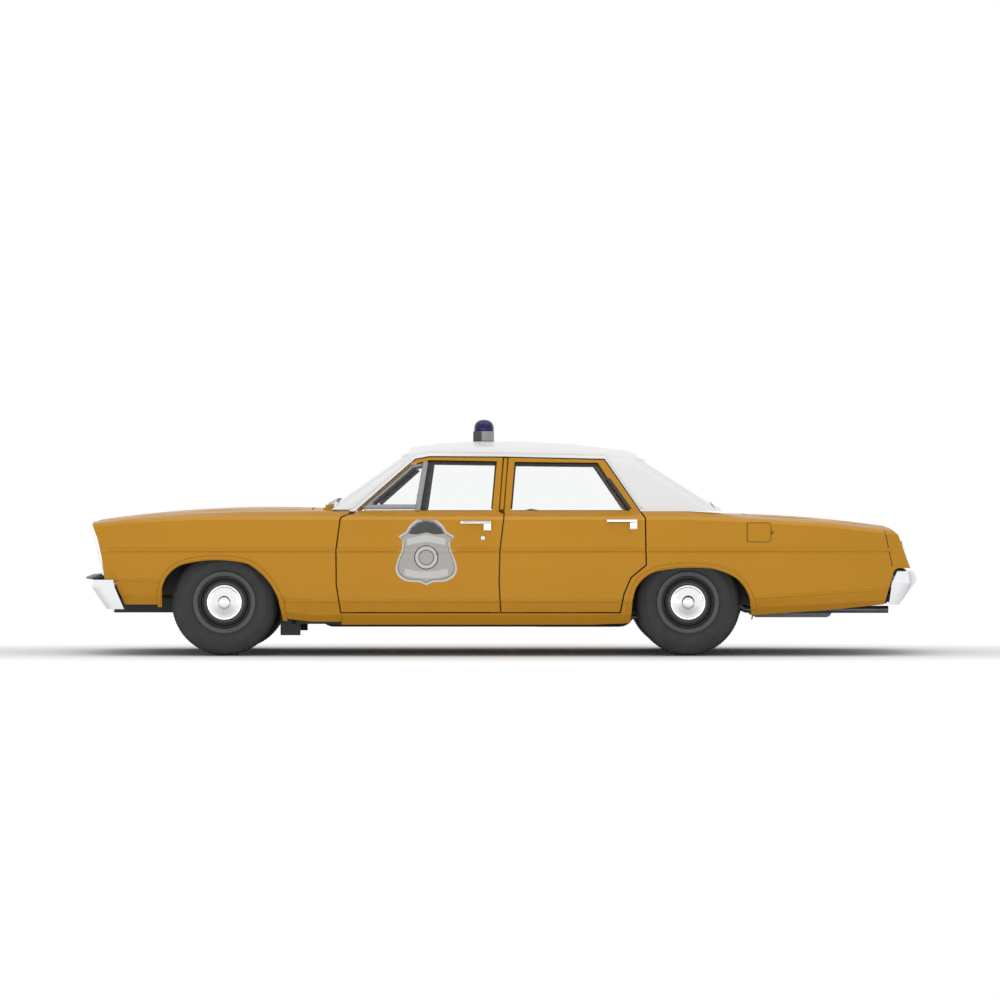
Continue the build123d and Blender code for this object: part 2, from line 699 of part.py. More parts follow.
grille_height = grille_head - grille_foot
grille_mid = (grille_head + grille_foot) / 2
bar_pitch = (grille_height - 2 * grille_rim) / (grille_bars + 1)
with BuildPart() as grille:
    with BuildSketch(nose_plane(nose_set + nose_depth)):
        with Locations((0, grille_mid)):
            Rectangle(2 * grille_half, grille_height)
            Rectangle(2 * grille_half - 2 * grille_rim, grille_height - 2 * grille_rim, mode=Mode.SUBTRACT)
    extrude(amount=nose_depth)
    with BuildSketch(nose_plane(nose_set + nose_depth)):
        with Locations((0, grille_mid)):
            with GridLocations(0, bar_pitch, 1, grille_bars):
                Rectangle(2 * grille_half - grille_rim, grille_bar)
            with GridLocations(grille_half / 2, 0, 3, 1):
                Rectangle(grille_bar, grille_height - grille_rim)
    extrude(amount=nose_depth - 10)
save(grille.part, "grille")

bezel_mid = (bezel_foot + bezel_head) / 2
bezel_centre = sum(bezel_y) / 2
with BuildPart() as left_lamps:
    with BuildSketch(nose_plane(nose_set + nose_depth)):
        with Locations((bezel_centre, bezel_mid)):
            RectangleRounded(bezel_y[1] - bezel_y[0], bezel_head - bezel_foot, 24)
    extrude(amount=nose_depth)
    with BuildSketch(nose_plane(nose_set)):
        with Locations(*[(lamp_y, height) for height in lamp_heights]):
            Circle(lamp_radius + bezel_margin)
    extrude(amount=-24, mode=Mode.SUBTRACT)
    with BuildSketch(nose_plane(nose_set + 24)):
        with Locations(*[(lamp_y, height) for height in lamp_heights]):
            Circle(lamp_radius)
    extrude(amount=20)
    lens_edges = left_lamps.edges().filter_by(GeomType.CIRCLE).group_by(SortBy.RADIUS)[0]
    fillet(lens_edges.sort_by(Axis((0, 0, 0), (cos(radians(nose_lean)), 0, -sin(radians(nose_lean)))))[-2:], 10)
with BuildPart() as headlamps:
    add(left_lamps.part)
    mirror(about=Plane.XZ)
save(headlamps.part, "headlamps")

# Bumpers: z, x at the middle, x at the corner, half width, x where the wrap ends
bumper_wall = 24
bumper_corner = 60
FRONT_BUMPER = [
    (306, 2622, 2562, 936, 2446),
    (449, 2717, 2658, 962, 2506),
    (497, 2706, 2646, 954, 2516),
]
REAR_BUMPER = [
    (335, -2642, -2604, 922, -2532),
    (476, -2717, -2668, 954, -2548),
    (552, -2704, -2656, 946, -2584),
]


def bumper(rows, wall):
    """Wrapped bumper blade, lofted through level sections; x grows towards the face at the front."""
    sign = 1 if rows[0][1] > 0 else -1
    with BuildPart() as blade:
        for z, x_middle, x_corner, half, x_end in rows:
            bow = sign * bumper_corner
            inner = half - wall
            x_bow = x_corner - sign * wall
            with BuildSketch(Plane.XY.offset(z)):
                with BuildLine():
                    Line((x_end, -half), (x_corner - bow, -half))
                    RadiusArc((x_corner - bow, -half), (x_corner, -half + bumper_corner), -sign * bumper_corner)
                    ThreePointArc((x_corner, -half + bumper_corner), (x_middle, 0), (x_corner, half - bumper_corner))
                    RadiusArc((x_corner, half - bumper_corner), (x_corner - bow, half), -sign * bumper_corner)
                    Line((x_corner - bow, half), (x_end, half))
                    Line((x_end, half), (x_end, inner))
                    Line((x_end, inner), (x_corner - bow, inner))
                    Line((x_corner - bow, inner), (x_bow, half - bumper_corner))
                    ThreePointArc(
                        (x_bow, half - bumper_corner), (x_middle - sign * wall, 0), (x_bow, -half + bumper_corner)
                    )
                    Line((x_bow, -half + bumper_corner), (x_corner - bow, -inner))
                    Line((x_corner - bow, -inner), (x_end, -inner))
                    Line((x_end, -inner), (x_end, -half))
                make_face()
        loft(ruled=True)
    return blade.part


with BuildPart() as front_bumper:
    add(bumper(FRONT_BUMPER, bumper_wall))
save(front_bumper.part, "front_bumper")
with BuildPart() as rear_bumper:
    add(bumper(REAR_BUMPER, bumper_wall))
save(rear_bumper.part, "rear_bumper")

# Tail: a cap behind each quarter, joined by the panel under the lid
tail_wall = 22
lamp_half_y, lamp_mid_y, lamp_z = 118, 730, (598, 742)
TAIL_SHEET = [(-2598, 750), (-2636, 658), (-2668, 577), (-2646, 577), (-2612, 658), (-2574, 750)]
tail_cap_outline = side_prism(TAIL_CAP_SIDE, 600, 1100)
with BuildPart() as left_cap:
    add(tail_block)
    add(tail_core, mode=Mode.SUBTRACT)
    add(tail_cap_outline, mode=Mode.INTERSECT)
with BuildPart() as tail_panel:
    add(left_cap.part)
    mirror(about=Plane.XZ)
    add(side_prism(TAIL_SHEET, -912, 912))
save(tail_panel.part, "tail_panel")
lamp_outer_x, lamp_inner_x = -2678, -2560
with BuildPart() as left_tail_lamp:
    with BuildSketch(Plane.XZ.offset(-(lamp_mid_y - lamp_half_y))):
        with BuildLine():
            Polyline(
                (-2639.4, lamp_z[0]), (-2602.5, lamp_z[1]), (-2622, lamp_z[1] - 4), (-2656, lamp_z[0] + 4),
                close=True,
            )
        make_face()
    extrude(amount=-2 * lamp_half_y)
with BuildPart() as tail_lamps:
    add(left_tail_lamp.part.cut(tail_panel.part))
    mirror(about=Plane.XZ)
save(tail_lamps.part, "tail_lamps")

# Beacon: round base on the roof, with a dome
with BuildPart() as beacon_base:
    with BuildSketch(Plane.XY.offset(1380)):
        with Locations((beacon_x, 0)):
            Circle(beacon_radius)
    extrude(amount=1409 + beacon_base_height - 1380)
    add(roof_block, mode=Mode.SUBTRACT)
save(beacon_base.part, "beacon_base")
beacon_top_z = 1409 + beacon_base_height
with BuildPart() as beacon_dome:
    with BuildSketch(Plane.XY.offset(beacon_top_z)):
        with Locations((beacon_x, 0)):
            Circle(beacon_radius - 3)
    extrude(amount=beacon_dome_height)
    fillet(beacon_dome.edges().sort_by(Axis.Z)[-1:], radius=0.5 * beacon_dome_height)
save(beacon_dome.part, "beacon_dome")


# Wheels: y is measured outwards from the wheel's middle plane
def wheel_ring(outline, x, y_sign):
    """Ring turned about the axle from (radius, y) points."""
    with BuildPart() as ring:
        with BuildSketch(Plane.XY):
            with BuildLine():
                Polyline(*[(r, y_sign * (track_half + y)) for r, y in outline], close=True)
            make_face()
        revolve(axis=Axis.Y)
    return ring.part.moved(Location((x, 0, tyre_radius)))


def tyre_ring(x, y_sign):
    """Tyre with a crowned tread and bulged side walls."""
    half = tyre_width / 2
    shoulder = tyre_radius - tread_crown
    bulge_r = (shoulder + bead_radius) / 2

    def at(r, y):
        return (r, y_sign * (track_half + y))

    with BuildPart() as ring:
        with BuildSketch(Plane.XY):
            with BuildLine():
                Line(at(bead_radius, -half + 18), at(bead_radius, half - 18))
                ThreePointArc(at(bead_radius, half - 18), at(bulge_r, half), at(shoulder, tread_half))
                ThreePointArc(at(shoulder, tread_half), at(tyre_radius, 0), at(shoulder, -tread_half))
                ThreePointArc(at(shoulder, -tread_half), at(bulge_r, -half), at(bead_radius, -half + 18))
            make_face()
        revolve(axis=Axis.Y)
    return ring.part.moved(Location((x, 0, tyre_radius)))


rim_radius = bead_radius - running
rim_half = tyre_width / 2 - 18
disc_y = 40
WHEEL_OUTLINE = [
    (rim_radius, -rim_half), (rim_radius, rim_half), (rim_radius - 6, rim_half + rim_lip),
    (rim_radius - 14, rim_half + rim_lip), (rim_radius - rim_well, rim_half - 20), (rim_radius - 34, disc_y + 2),
    (rim_radius - 44, disc_y), (rim_radius - 66, disc_y + 16), (hubcap_radius - 14, disc_y + 20),
    (hubcap_radius - 34, disc_y + 8), (spindle_radius + running, disc_y + 8),
    (spindle_radius + running, disc_y + 8 - disc_thick), (hubcap_radius - 30, disc_y + 8 - disc_thick),
    (hubcap_radius - 12, disc_y + 20 - disc_thick), (rim_radius - 66, disc_y + 16 - disc_thick),
    (rim_radius - 46, disc_y - disc_thick), (rim_radius - rim_well - 8, disc_y - disc_thick),
    (rim_radius - rim_well, -rim_half + 20), (rim_radius - 10, -rim_half),
]
hubcap_seat = disc_y + 20 + running
HUBCAP_OUTLINE = [
    (0, hubcap_seat + hubcap_dish - 8), (26, hubcap_seat + hubcap_dish - 8), (34, hubcap_seat + hubcap_dish - 16),
    (70, hubcap_seat + hubcap_dish - 12), (hubcap_radius - 16, hubcap_seat + hubcap_dish - 16),
    (hubcap_radius, hubcap_seat + 4), (hubcap_radius, hubcap_seat), (hubcap_radius - 14, hubcap_seat),
    (hubcap_radius - 24, hubcap_seat + 8), (0, hubcap_seat + 8),
]
CORNERS = {
    "front_left": (front_axle_x, 1), "front_right": (front_axle_x, -1),
    "rear_left": (rear_axle_x, 1), "rear_right": (rear_axle_x, -1),
}
for corner, (x, y_sign) in CORNERS.items():
    with BuildPart() as tyre:
        add(tyre_ring(x, y_sign))
    save(tyre.part, f"tyre_{corner}")
    with BuildPart() as wheel:
        add(wheel_ring(WHEEL_OUTLINE, x, y_sign))
        add(wheel_ring(HUBCAP_OUTLINE, x, y_sign))
    save(wheel.part, f"wheel_{corner}")

# Knuckles: upright on the kingpin line, spindle, backing plate and steering arm
arm_z = (205, 490)
ball_length = 46
with BuildPart() as knuckle_left:
    add(box_part(front_axle_x - 24, front_axle_x + 24, kingpin_y - 16, kingpin_y + 16, arm_z[0] + 26, arm_z[1] - 26))
    add(rod_part((front_axle_x, kingpin_y, arm_z[0] - 14), (0, 0, 1), kingpin_radius, arm_z[1] - arm_z[0] + 28))
    add(rod_part((front_axle_x, kingpin_y + 10, tyre_radius), (0, 1, 0), backing_radius, 14))
    add(rod_part((front_axle_x, kingpin_y, tyre_radius), (0, 1, 0), spindle_radius, spindle_length + 24))
    add(
        box_part(
            front_axle_x - steer_arm - 14, front_axle_x - 10, kingpin_y - 14, kingpin_y + 14,
            tie_rod_z + tie_rod_radius + 8, tie_rod_z + tie_rod_radius + 24,
        )
    )
    add(
        rod_part(
            (front_axle_x - steer_arm, kingpin_y, tie_rod_z - 14), (0, 0, 1), tie_pin_radius, tie_rod_radius + 30
        )
    )
save(knuckle_left.part, "knuckle_left")
with BuildPart() as knuckle_right:
    mirror(knuckle_left.part, about=Plane.XZ)
save(knuckle_right.part, "knuckle_right")

# Tie rod between the steering arms
with BuildPart() as tie_rod:
    for y_sign in (1, -1):
        add(
            rod_part(
                (front_axle_x - steer_arm, y_sign * kingpin_y, tie_rod_z - tie_rod_radius), (0, 0, 1), 18,
                2 * tie_rod_radius,
            )
        )
    add(
        rod_part(
            (front_axle_x - steer_arm, -kingpin_y + 15, tie_rod_z), (0, 1, 0), tie_rod_radius - 1,
            2 * kingpin_y - 30,
        )
    )
    for y_sign in (1, -1):
        add(
            rod_part(
                (front_axle_x - steer_arm, y_sign * kingpin_y, tie_rod_z - 40), (0, 0, 1),
                tie_pin_radius + running, 80,
            ),
            mode=Mode.SUBTRACT,
        )
save(tie_rod.part, "tie_rod")

# Front suspension: lower and upper wishbones from the frame to the kingpins
arm_pivot_y = 440
arm_spread = 150
arm_thick = 20
with BuildPart() as left_arms:
    for height in arm_z:
        with BuildSketch(Plane.XY.offset(height - arm_thick / 2)):
            with BuildLine():
                Polyline(
                    (front_axle_x - 16, kingpin_y), (front_axle_x - arm_spread, arm_pivot_y),
                    (front_axle_x + arm_spread, arm_pivot_y), (front_axle_x + 16, kingpin_y),
                    close=True,
                )
            make_face()
            with BuildLine():
                Polyline(
                    (front_axle_x - arm_spread + 55, arm_pivot_y + 30), (front_axle_x, arm_pivot_y + 170),
                    (front_axle_x + arm_spread - 55, arm_pivot_y + 30), close=True,
                )
            make_face(mode=Mode.SUBTRACT)
            with Locations((front_axle_x, kingpin_y)):
                Circle(22)
                Circle(kingpin_radius + running, mode=Mode.SUBTRACT)
        extrude(amount=arm_thick)
with BuildPart() as front_suspension:
    add(left_arms.part)
    mirror(about=Plane.XZ)
save(front_suspension.part, "front_suspension")

# Perimeter frame: front rails, outer side rails, rear rails kicked up over the axle
rail_y = (395, 465)
side_rail_y = (680, 780)
rear_rail_y = (520, 600)
rail_z = (274, 370)
side_rail_z = (206, 262)
REAR_RAIL = [
    (-700, 206), (-700, 262), (-780, 262), (-930, 540), (-1560, 540), (-1700, 420), (-2540, 420), (-2540, 336),
    (-1740, 336), (-1600, 450), (-975, 450), (-830, 206),
]
SPLAY = [
    (1450, rail_y[0]), (1450, rail_y[1]), (1330, side_rail_y[1]), (1200, side_rail_y[1]), (1200, side_rail_y[0]),
    (1300, 500), (1300, rail_y[0]),
]
cross_x = 50
RAIL_SEAMS = [
    (1450, 1450 + running, 390, 470, 270, 375),
    (1200 - running, 1200, 670, 790, 200, 270),
    (-690 - running, -690, 670, 790, 200, 270),
    (1700, 2500, rail_y[0] - running, rail_y[0], 200, 380),
    (1740, 1860, 390, 480, 370, 370 + running),
    (790, 890, side_rail_y[0] - running, side_rail_y[0], 225, 270),
    (-2500, -1490, rear_rail_y[0] - running, rear_rail_y[0], 330, 545),
    (-952 - running, -952, 510, 610, 400, 545),
    (-1580 - running, -1580, 510, 610, 440, 535),
    (-1720 - running, -1720, 510, 610, 340, 430),
]
hitch_x = -2230
hitch_y = 560
hitch_pitch = 220
hitch_bolt_radius = 6.5
with BuildPart() as left_rails:
    add(box_part(1400, 2545, *rail_y, *rail_z))
    add(plan_prism(SPLAY, 206, 340))
    add(box_part(-800, 1250, *side_rail_y, *side_rail_z))
    add(box_part(-800, -705, rear_rail_y[0], side_rail_y[1], *side_rail_z))
    add(side_prism(REAR_RAIL, *rear_rail_y))
    add(box_part(1310, 1438, 600, 700, 130, 262))
    add(box_part(front_axle_x - cross_x, front_axle_x + cross_x, 0, 470, arm_z[0] + arm_thick / 2 + running, 300))
    add(box_part(front_axle_x - cross_x, front_axle_x + cross_x, 400, 470, 290, arm_z[1] - arm_thick / 2 - running))
    add(box_part(800, 880, 0, 700, 232, 262))
    for mount_x in (-500, 200, 900):
        add(box_part(mount_x - 40, mount_x + 40, 700, 760, 250, 266 - running))
    add(box_part(2430, 2490, 0, 400, 300, 360))
    add(box_part(-1560, -1500, 0, 530, 470, 530))
    add(box_part(-2480, -2420, 0, 530, 350, 410))
    add(box_part(2540, 2612, 405, 455, 320, 366))
    add(bumper(FRONT_BUMPER, bumper_wall + running), mode=Mode.SUBTRACT)
    add(box_part(-2628, -2535, 535, 585, 345, 400))
    add(bumper(REAR_BUMPER, bumper_wall + running), mode=Mode.SUBTRACT)
    for seam_box in RAIL_SEAMS:
        add(box_part(*seam_box), mode=Mode.SUBTRACT)
with BuildPart() as perimeter_frame:
    add(left_rails.part)
    mirror(about=Plane.XZ)
    with Locations((hitch_x, 0, 300)):
        with GridLocations(hitch_pitch, 2 * hitch_y, 2, 2):
            Cylinder(hitch_bolt_radius, 300, mode=Mode.SUBTRACT)
save(perimeter_frame.part, "perimeter_frame")

# Body floor: pan with a tunnel, firewall, heel board, trunk floor, wheelhouses, aprons and nose support
pan_half = post_inner_y - running
trunk_half = 640
PAN_SECTION = [
    (-pan_half, 266), (-pan_half, 280), (-170, 280), (-130, 470), (130, 470), (170, 280), (pan_half, 280),
    (pan_half, 266), (158, 266), (118, 456), (-118, 456), (-158, 266),
]
FIREWALL = [(1000, 266), (1000, 280), (1196, 470), (1196, 920), (1212, 920), (1212, 462), (1008, 266)]
REAR_FLOOR = [
    (-750, 266), (-852, 566), (-1560, 566), (-1730, 446), (-2540, 446), (-2540, 432), (-1738, 432), (-1568, 552),
    (-862, 552), (-766, 266),
]
house_radius = 425
house_wall = 12
house_y = (trunk_half, 840)
apron_y = (508, 520)
support_set = nose_set + nose_depth + running
FLOOR_SEAMS = [
    (-770, 1010, 171, 171 + running, 255, 300),
    (-770, 1010, -171 - running, -171, 255, 300),
    (-745 - running, -745, -800, 800, 255, 480),
    (998.4, 998.4 + running, -800, 800, 255, 480),
    (1150, 1260, -800, 800, 474, 474 + running),
    (-866 - running, -866, -650, 650, 540, 580),
    (-1566 - running, -1566, -650, 650, 530, 580),
    (-1742 - running, -1742, -650, 650, 425, 450),
]
with BuildPart() as left_house:
    with BuildSketch(Plane.XZ.offset(-house_y[0])):
        with Locations((rear_axle_x, tyre_radius)):
            Circle(house_radius)
        with Locations((rear_axle_x, 0)):
            Rectangle(3 * house_radius, 2 * 330, mode=Mode.SUBTRACT)
    extrude(amount=house_y[0] - house_y[1])
    with BuildSketch(Plane.XZ.offset(-house_y[0] - house_wall)):
        with Locations((rear_axle_x, tyre_radius)):
            Circle(house_radius - house_wall)
    extrude(amount=-300, mode=Mode.SUBTRACT)
    add(box_part(rear_axle_x - 75, rear_axle_x + 75, house_y[0] - 10, house_y[0] + 30, 300, 470), mode=Mode.SUBTRACT)
with BuildPart() as body_floor:
    add(cross_prism(PAN_SECTION, -760, 1004))
    add(side_prism(FIREWALL, -pan_half, pan_half))
    add(box_part(1196, 1212, -690, 690, 900, 945))
    add(
        lid_patch(
            hood_peak_x, hood_peak_z + 60, hood_sweep, hood_crown, cowl_side, hood_thick + 60 + running, 1150, 1250
        ),
        mode=Mode.SUBTRACT,
    )
    add(box_part(960, 1240, -140, 140, 200, 470), mode=Mode.SUBTRACT)
    add(side_prism(REAR_FLOOR, -trunk_half + running, trunk_half - running))
    add(box_part(-900, -762, -118, 118, 200, 456), mode=Mode.SUBTRACT)
    add(left_house.part)
    mirror(left_house.part, about=Plane.XZ)
    add(box_part(-1424, -1000, -700, 700, 900, 912))
    add(box_part(-1424, -1410, -trunk_half + running, trunk_half - running, 566 + running, 900 - running))
    for y_sign in (1, -1):
        y_pair = sorted((y_sign * apron_y[0], y_sign * apron_y[1]))
        add(box_part(1212 + running, 2620, *y_pair, 400, 835))
    with BuildSketch(nose_plane(support_set + nose_panel_thick + running)):
        Rectangle(4 * grille_half, 4 * grille_half)
    extrude(amount=300, mode=Mode.SUBTRACT)
    add(box_part(1560, 2034, -600, 600, 380, 640), mode=Mode.SUBTRACT)
    with BuildSketch(nose_plane(support_set + nose_panel_thick)):
        with Locations((0, bezel_mid)):
            Rectangle(2 * bezel_y[1] - 8, bezel_head - bezel_foot)
        with Locations((0, grille_mid)):
            Rectangle(2 * grille_half - 30, grille_height - 36, mode=Mode.SUBTRACT)
    extrude(amount=nose_panel_thick)
    add(box_part(2330, 2390, -340, 340, 400, 840))
    add(box_part(2340, 2380, -apron_y[0] + running, apron_y[0] - running, 800, 840))
    for seam_box in FLOOR_SEAMS:
        add(box_part(*seam_box), mode=Mode.SUBTRACT)
save(body_floor.part, "body_floor")

# Engine and gearbox as one plain mass
ENGINE_SECTION = [
    (-110, 300.3), (-200, 420), (-300, 640), (-180, 760), (180, 760), (300, 640), (200, 420), (110, 300.3),
]
gearbox_z = 361
with BuildPart() as engine_block:
    add(cross_prism(ENGINE_SECTION, 1330, 1960))
    add(rod_part((1600, 0, 750), (0, 0, 1), 190, 100))
    add(rod_part((1340, 0, gearbox_z), (-1, 0, 0), 88, 620))
    add(rod_part((730, 0, gearbox_z), (-1, 0, 0), 56, 150))
save(engine_block.part, "engine_block")

# Exhaust: one pipe with a flat muffler, carried over the axle
pipe_radius = 24
pipe_y = 330
pipe_z = 201
with BuildPart() as exhaust_system:
    with BuildLine() as pipe_path:
        FilletPolyline(
            (1420, 270, 560), (1330, pipe_y, 330), (1120, pipe_y, pipe_z), (-830, pipe_y, pipe_z),
            (-1000, pipe_y, 440), (-1430, pipe_y, 440), (-1620, pipe_y, 292), (-2570, pipe_y, 292), radius=70,
        )
    with BuildSketch(Plane(origin=pipe_path.line @ 0, z_dir=pipe_path.line % 0)):
        Circle(pipe_radius)
    sweep()
    with BuildSketch(Plane.YZ.offset(-790)):
        with Locations((pipe_y, 218)):
            Ellipse(108, 42)
    extrude(amount=540)
    add(engine_block.part, mode=Mode.SUBTRACT)
save(exhaust_system.part, "exhaust_system")

# Fuel tank under the trunk floor
with BuildPart() as fuel_tank:
    add(box_part(-2200, -1665, -270, 270, 238, 432 - running))
    fillet(fuel_tank.edges().filter_by(Axis.Y), 40)
save(fuel_tank.part, "fuel_tank")

# Rear axle with its differential, backing plates, spindles and propeller shaft
axle_radius = 40
plate_y = 704
with BuildPart() as rear_axle:
    add(rod_part((rear_axle_x, -plate_y, tyre_radius), (0, 1, 0), axle_radius, 2 * plate_y))
    spindle_end = kingpin_y + spindle_length + 24
    add(rod_part((rear_axle_x, -spindle_end, tyre_radius), (0, 1, 0), spindle_radius, 2 * spindle_end))
    for y_from in (plate_y - 2, -plate_y - 12):
        add(rod_part((rear_axle_x, y_from, tyre_radius), (0, 1, 0), backing_radius, 14))
    with Locations((rear_axle_x, 0, tyre_radius)):
        Sphere(128)
    shaft_end = 580 - 2 * running
    add(rod_part((rear_axle_x, 0, tyre_radius), (1, 0, (gearbox_z - tyre_radius) / (shaft_end - rear_axle_x)), 38, shaft_end - rear_axle_x))
save(rear_axle.part, "rear_axle")

# Rear suspension: a coil and a trailing arm on each side
coil_y = 560
coil_foot, coil_head = tyre_radius + axle_radius + running, 450 - running
with BuildPart() as left_rear_links:
    add(rod_part((rear_axle_x, coil_y, coil_foot), (0, 0, 1), 34, coil_head - coil_foot))
    for n in range(4):
        add(rod_part((rear_axle_x, coil_y, coil_foot + n * 17), (0, 0, 1), 54, 9))
    arm_foot = (rear_axle_x, 630, tyre_radius - 60)
    add(rod_part(arm_foot, (1, 0, -0.115), 15, -800 - running - rear_axle_x))
    add(box_part(rear_axle_x - 20, rear_axle_x + 20, 612, 648, tyre_radius - 75, tyre_radius))
    add(
        rod_part((rear_axle_x, 600, tyre_radius), (0, 1, 0), axle_radius + running, 100),
        mode=Mode.SUBTRACT,
    )
    add(box_part(rear_axle_x - 20, rear_axle_x + 20, 600, 660, tyre_radius, tyre_radius + 60), mode=Mode.SUBTRACT)
with BuildPart() as rear_suspension:
    add(left_rear_links.part)
    mirror(about=Plane.XZ)
save(rear_suspension.part, "rear_suspension")

# Interior: dashboard with the steering column, wheel and seats
steer_x, steer_y, steer_z, steer_rake = 451, 380, 870, 26.6
steer_axis = (cos(radians(steer_rake)), 0, -sin(radians(steer_rake)))
steer_plane = Plane(origin=(steer_x, steer_y, steer_z), x_dir=(0, 1, 0), z_dir=(-steer_axis[0], 0, -steer_axis[2]))
column_radius, shaft_radius, hub_radius, rim_ring, rim_tube = 28, 14, 38, 195, 12
hub_half = 18
DASH_SIDE = [
    (1085, 928), (840, 928), (800, 890), (830, 800), (880, 640), (960, 620), (1195.7, 700), (1195.7, 850),
    (1090, 880),
]
column_start = hub_half + 3
column_length = (1174 - steer_x) / steer_axis[0] - column_start
shaft_start = -hub_half - 2
with BuildPart() as dashboard:
    add(side_prism(DASH_SIDE, -720, 720))
    column_foot = Vector(steer_x, steer_y, steer_z) + Vector(*steer_axis) * column_start
    add(rod_part(column_foot, steer_axis, column_radius, column_length))
    shaft_foot = Vector(steer_x, steer_y, steer_z) + Vector(*steer_axis) * shaft_start
    add(rod_part(shaft_foot, steer_axis, shaft_radius, column_start - shaft_start + 5))
save(dashboard.part, "dashboard")
with BuildPart() as steering_wheel:
    with BuildSketch(steer_plane.offset(-hub_half)):
        Circle(hub_radius)
    extrude(amount=2 * hub_half)
    with BuildSketch(steer_plane.offset(-7)):
        with Locations((0, -20)):
            Rectangle(2 * rim_ring - 8, 34)
    extrude(amount=14)
    with BuildSketch(Plane(origin=steer_plane.origin, x_dir=(0, 1, 0), z_dir=steer_plane.y_dir)):
        with Locations((rim_ring, 0)):
            Circle(rim_tube)
    revolve(axis=Axis(steer_plane.origin, steer_plane.z_dir))
    with BuildSketch(steer_plane.offset(-40)):
        Circle(shaft_radius + running)
    extrude(amount=80, mode=Mode.SUBTRACT)
save(steering_wheel.part, "steering_wheel")

FRONT_SEAT = [(-180, 330), (450, 330), (470, 545), (430, 585), (-40, 560), (-110, 955), (-190, 955)]
seat_half = 690
with BuildPart() as front_seat:
    add(side_prism(FRONT_SEAT, -seat_half, seat_half))
    add(box_part(-300, 600, -185, 185, 200, 486), mode=Mode.SUBTRACT)
    for x in (-150, 380):
        for y in (-620, 560):
            add(box_part(x, x + 50, y, y + 60, 280 + running, 335))
save(front_seat.part, "front_seat")
REAR_SEAT = [
    (-560, 330), (-762, 330), (-842, 566.3), (-1130, 566.3), (-1185, 893), (-1095, 893), (-1010, 640), (-960, 610),
    (-600, 600), (-560, 560),
]
with BuildPart() as rear_seat:
    add(side_prism(REAR_SEAT, -trunk_half + 10, trunk_half - 10))
    add(box_part(-900, -500, -185, 185, 200, 486), mode=Mode.SUBTRACT)
save(rear_seat.part, "rear_seat")
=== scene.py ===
"""Looks of the patrol sedan: paint, chrome, glass, rubber, cloth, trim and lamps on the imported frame."""

from math import cos, hypot, pi, radians, sin, sqrt, tau

import bmesh
import bpy
from mathutils import Matrix, Vector
from mathutils.bvhtree import BVHTree


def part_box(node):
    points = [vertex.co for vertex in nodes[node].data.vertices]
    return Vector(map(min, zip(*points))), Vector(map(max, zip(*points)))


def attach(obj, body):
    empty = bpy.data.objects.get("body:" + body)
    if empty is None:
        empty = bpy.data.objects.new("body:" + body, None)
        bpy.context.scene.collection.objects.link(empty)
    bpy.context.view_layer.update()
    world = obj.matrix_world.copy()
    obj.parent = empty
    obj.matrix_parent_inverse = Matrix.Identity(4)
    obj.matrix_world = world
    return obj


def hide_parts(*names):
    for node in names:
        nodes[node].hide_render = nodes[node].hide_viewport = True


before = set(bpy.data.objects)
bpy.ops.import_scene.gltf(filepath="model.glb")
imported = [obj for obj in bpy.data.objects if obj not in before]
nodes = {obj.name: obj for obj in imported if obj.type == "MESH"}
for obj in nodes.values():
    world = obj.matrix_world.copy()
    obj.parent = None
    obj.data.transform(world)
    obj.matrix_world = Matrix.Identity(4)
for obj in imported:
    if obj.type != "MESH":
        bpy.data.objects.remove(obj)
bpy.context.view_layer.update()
SIDES = (("left", 1), ("right", -1))
ENDS = ("front", "rear")
CORNERS = [f"{end}_{hand}" for end in ENDS for hand, _ in SIDES]

# Camera: level with the waist line, far off on the car's left
scene = bpy.context.scene
view_width = 6.515
near_plane_y = 0.887
camera_distance = 34.0
camera_data = bpy.data.cameras.new("camera")
camera_data.sensor_width = 36.0
camera_data.lens = 36.0 * camera_distance / view_width
camera_data.clip_end = 400.0
camera = bpy.data.objects.new("camera", camera_data)
camera.location = (0.0, near_plane_y + camera_distance, 1.016)
camera.rotation_euler = (radians(90), 0, radians(180))
scene.collection.objects.link(camera)
scene.camera = camera
scene.view_settings.view_transform = "Standard"


# Materials
def fill(tree, node, inputs):
    """Sets a node's inputs to numbers, or links them to other nodes' outputs."""
    for key, value in inputs.items():
        if isinstance(value, bpy.types.NodeSocket):
            tree.links.new(value, node.inputs[key])
        else:
            node.inputs[key].default_value = value


def add_node(tree, kind, inputs, operation=None):
    """A new shader node with its inputs filled."""
    made = tree.nodes.new(f"ShaderNode{kind}")
    if operation:
        made.operation = operation
    fill(tree, made, inputs)
    return made


def new_material(name):
    """An empty material with its node tree, principled shader and object coordinates."""
    made = bpy.data.materials.new(name)
    made.use_nodes = True
    tree = made.node_tree
    return made, tree, tree.nodes["Principled BSDF"], add_node(tree, "TexCoord", {}).outputs["Object"]


def noise(tree, where, scale, detail=3.0, roughness=0.5):
    """The value of a noise texture over the object's own coordinates."""
    inputs = {"Vector": where, "Scale": scale, "Detail": detail, "Roughness": roughness}
    return add_node(tree, "TexNoise", inputs).outputs["Fac"]


def wave(tree, where, direction, scale, distortion=0.0):
    """The value of straight bands over the object's own coordinates."""
    made = add_node(tree, "TexWave", {"Vector": where, "Scale": scale, "Distortion": distortion})
    made.bands_direction = direction
    return made.outputs["Fac"]


def ramp(tree, value, stops):
    """A colour ramp over a value."""
    made = add_node(tree, "ValToRGB", {"Fac": value})
    elements = made.color_ramp.elements
    while len(elements) < len(stops):
        elements.new(0.5)
    for element, (place, color) in zip(elements, stops):
        element.position = place
        element.color = (*color, 1)
    return made.outputs["Color"]


def spread(tree, value, low, high):
    """Maps a 0 to 1 value to a range."""
    return add_node(tree, "MapRange", {"Value": value, "To Min": low, "To Max": high}).outputs["Result"]


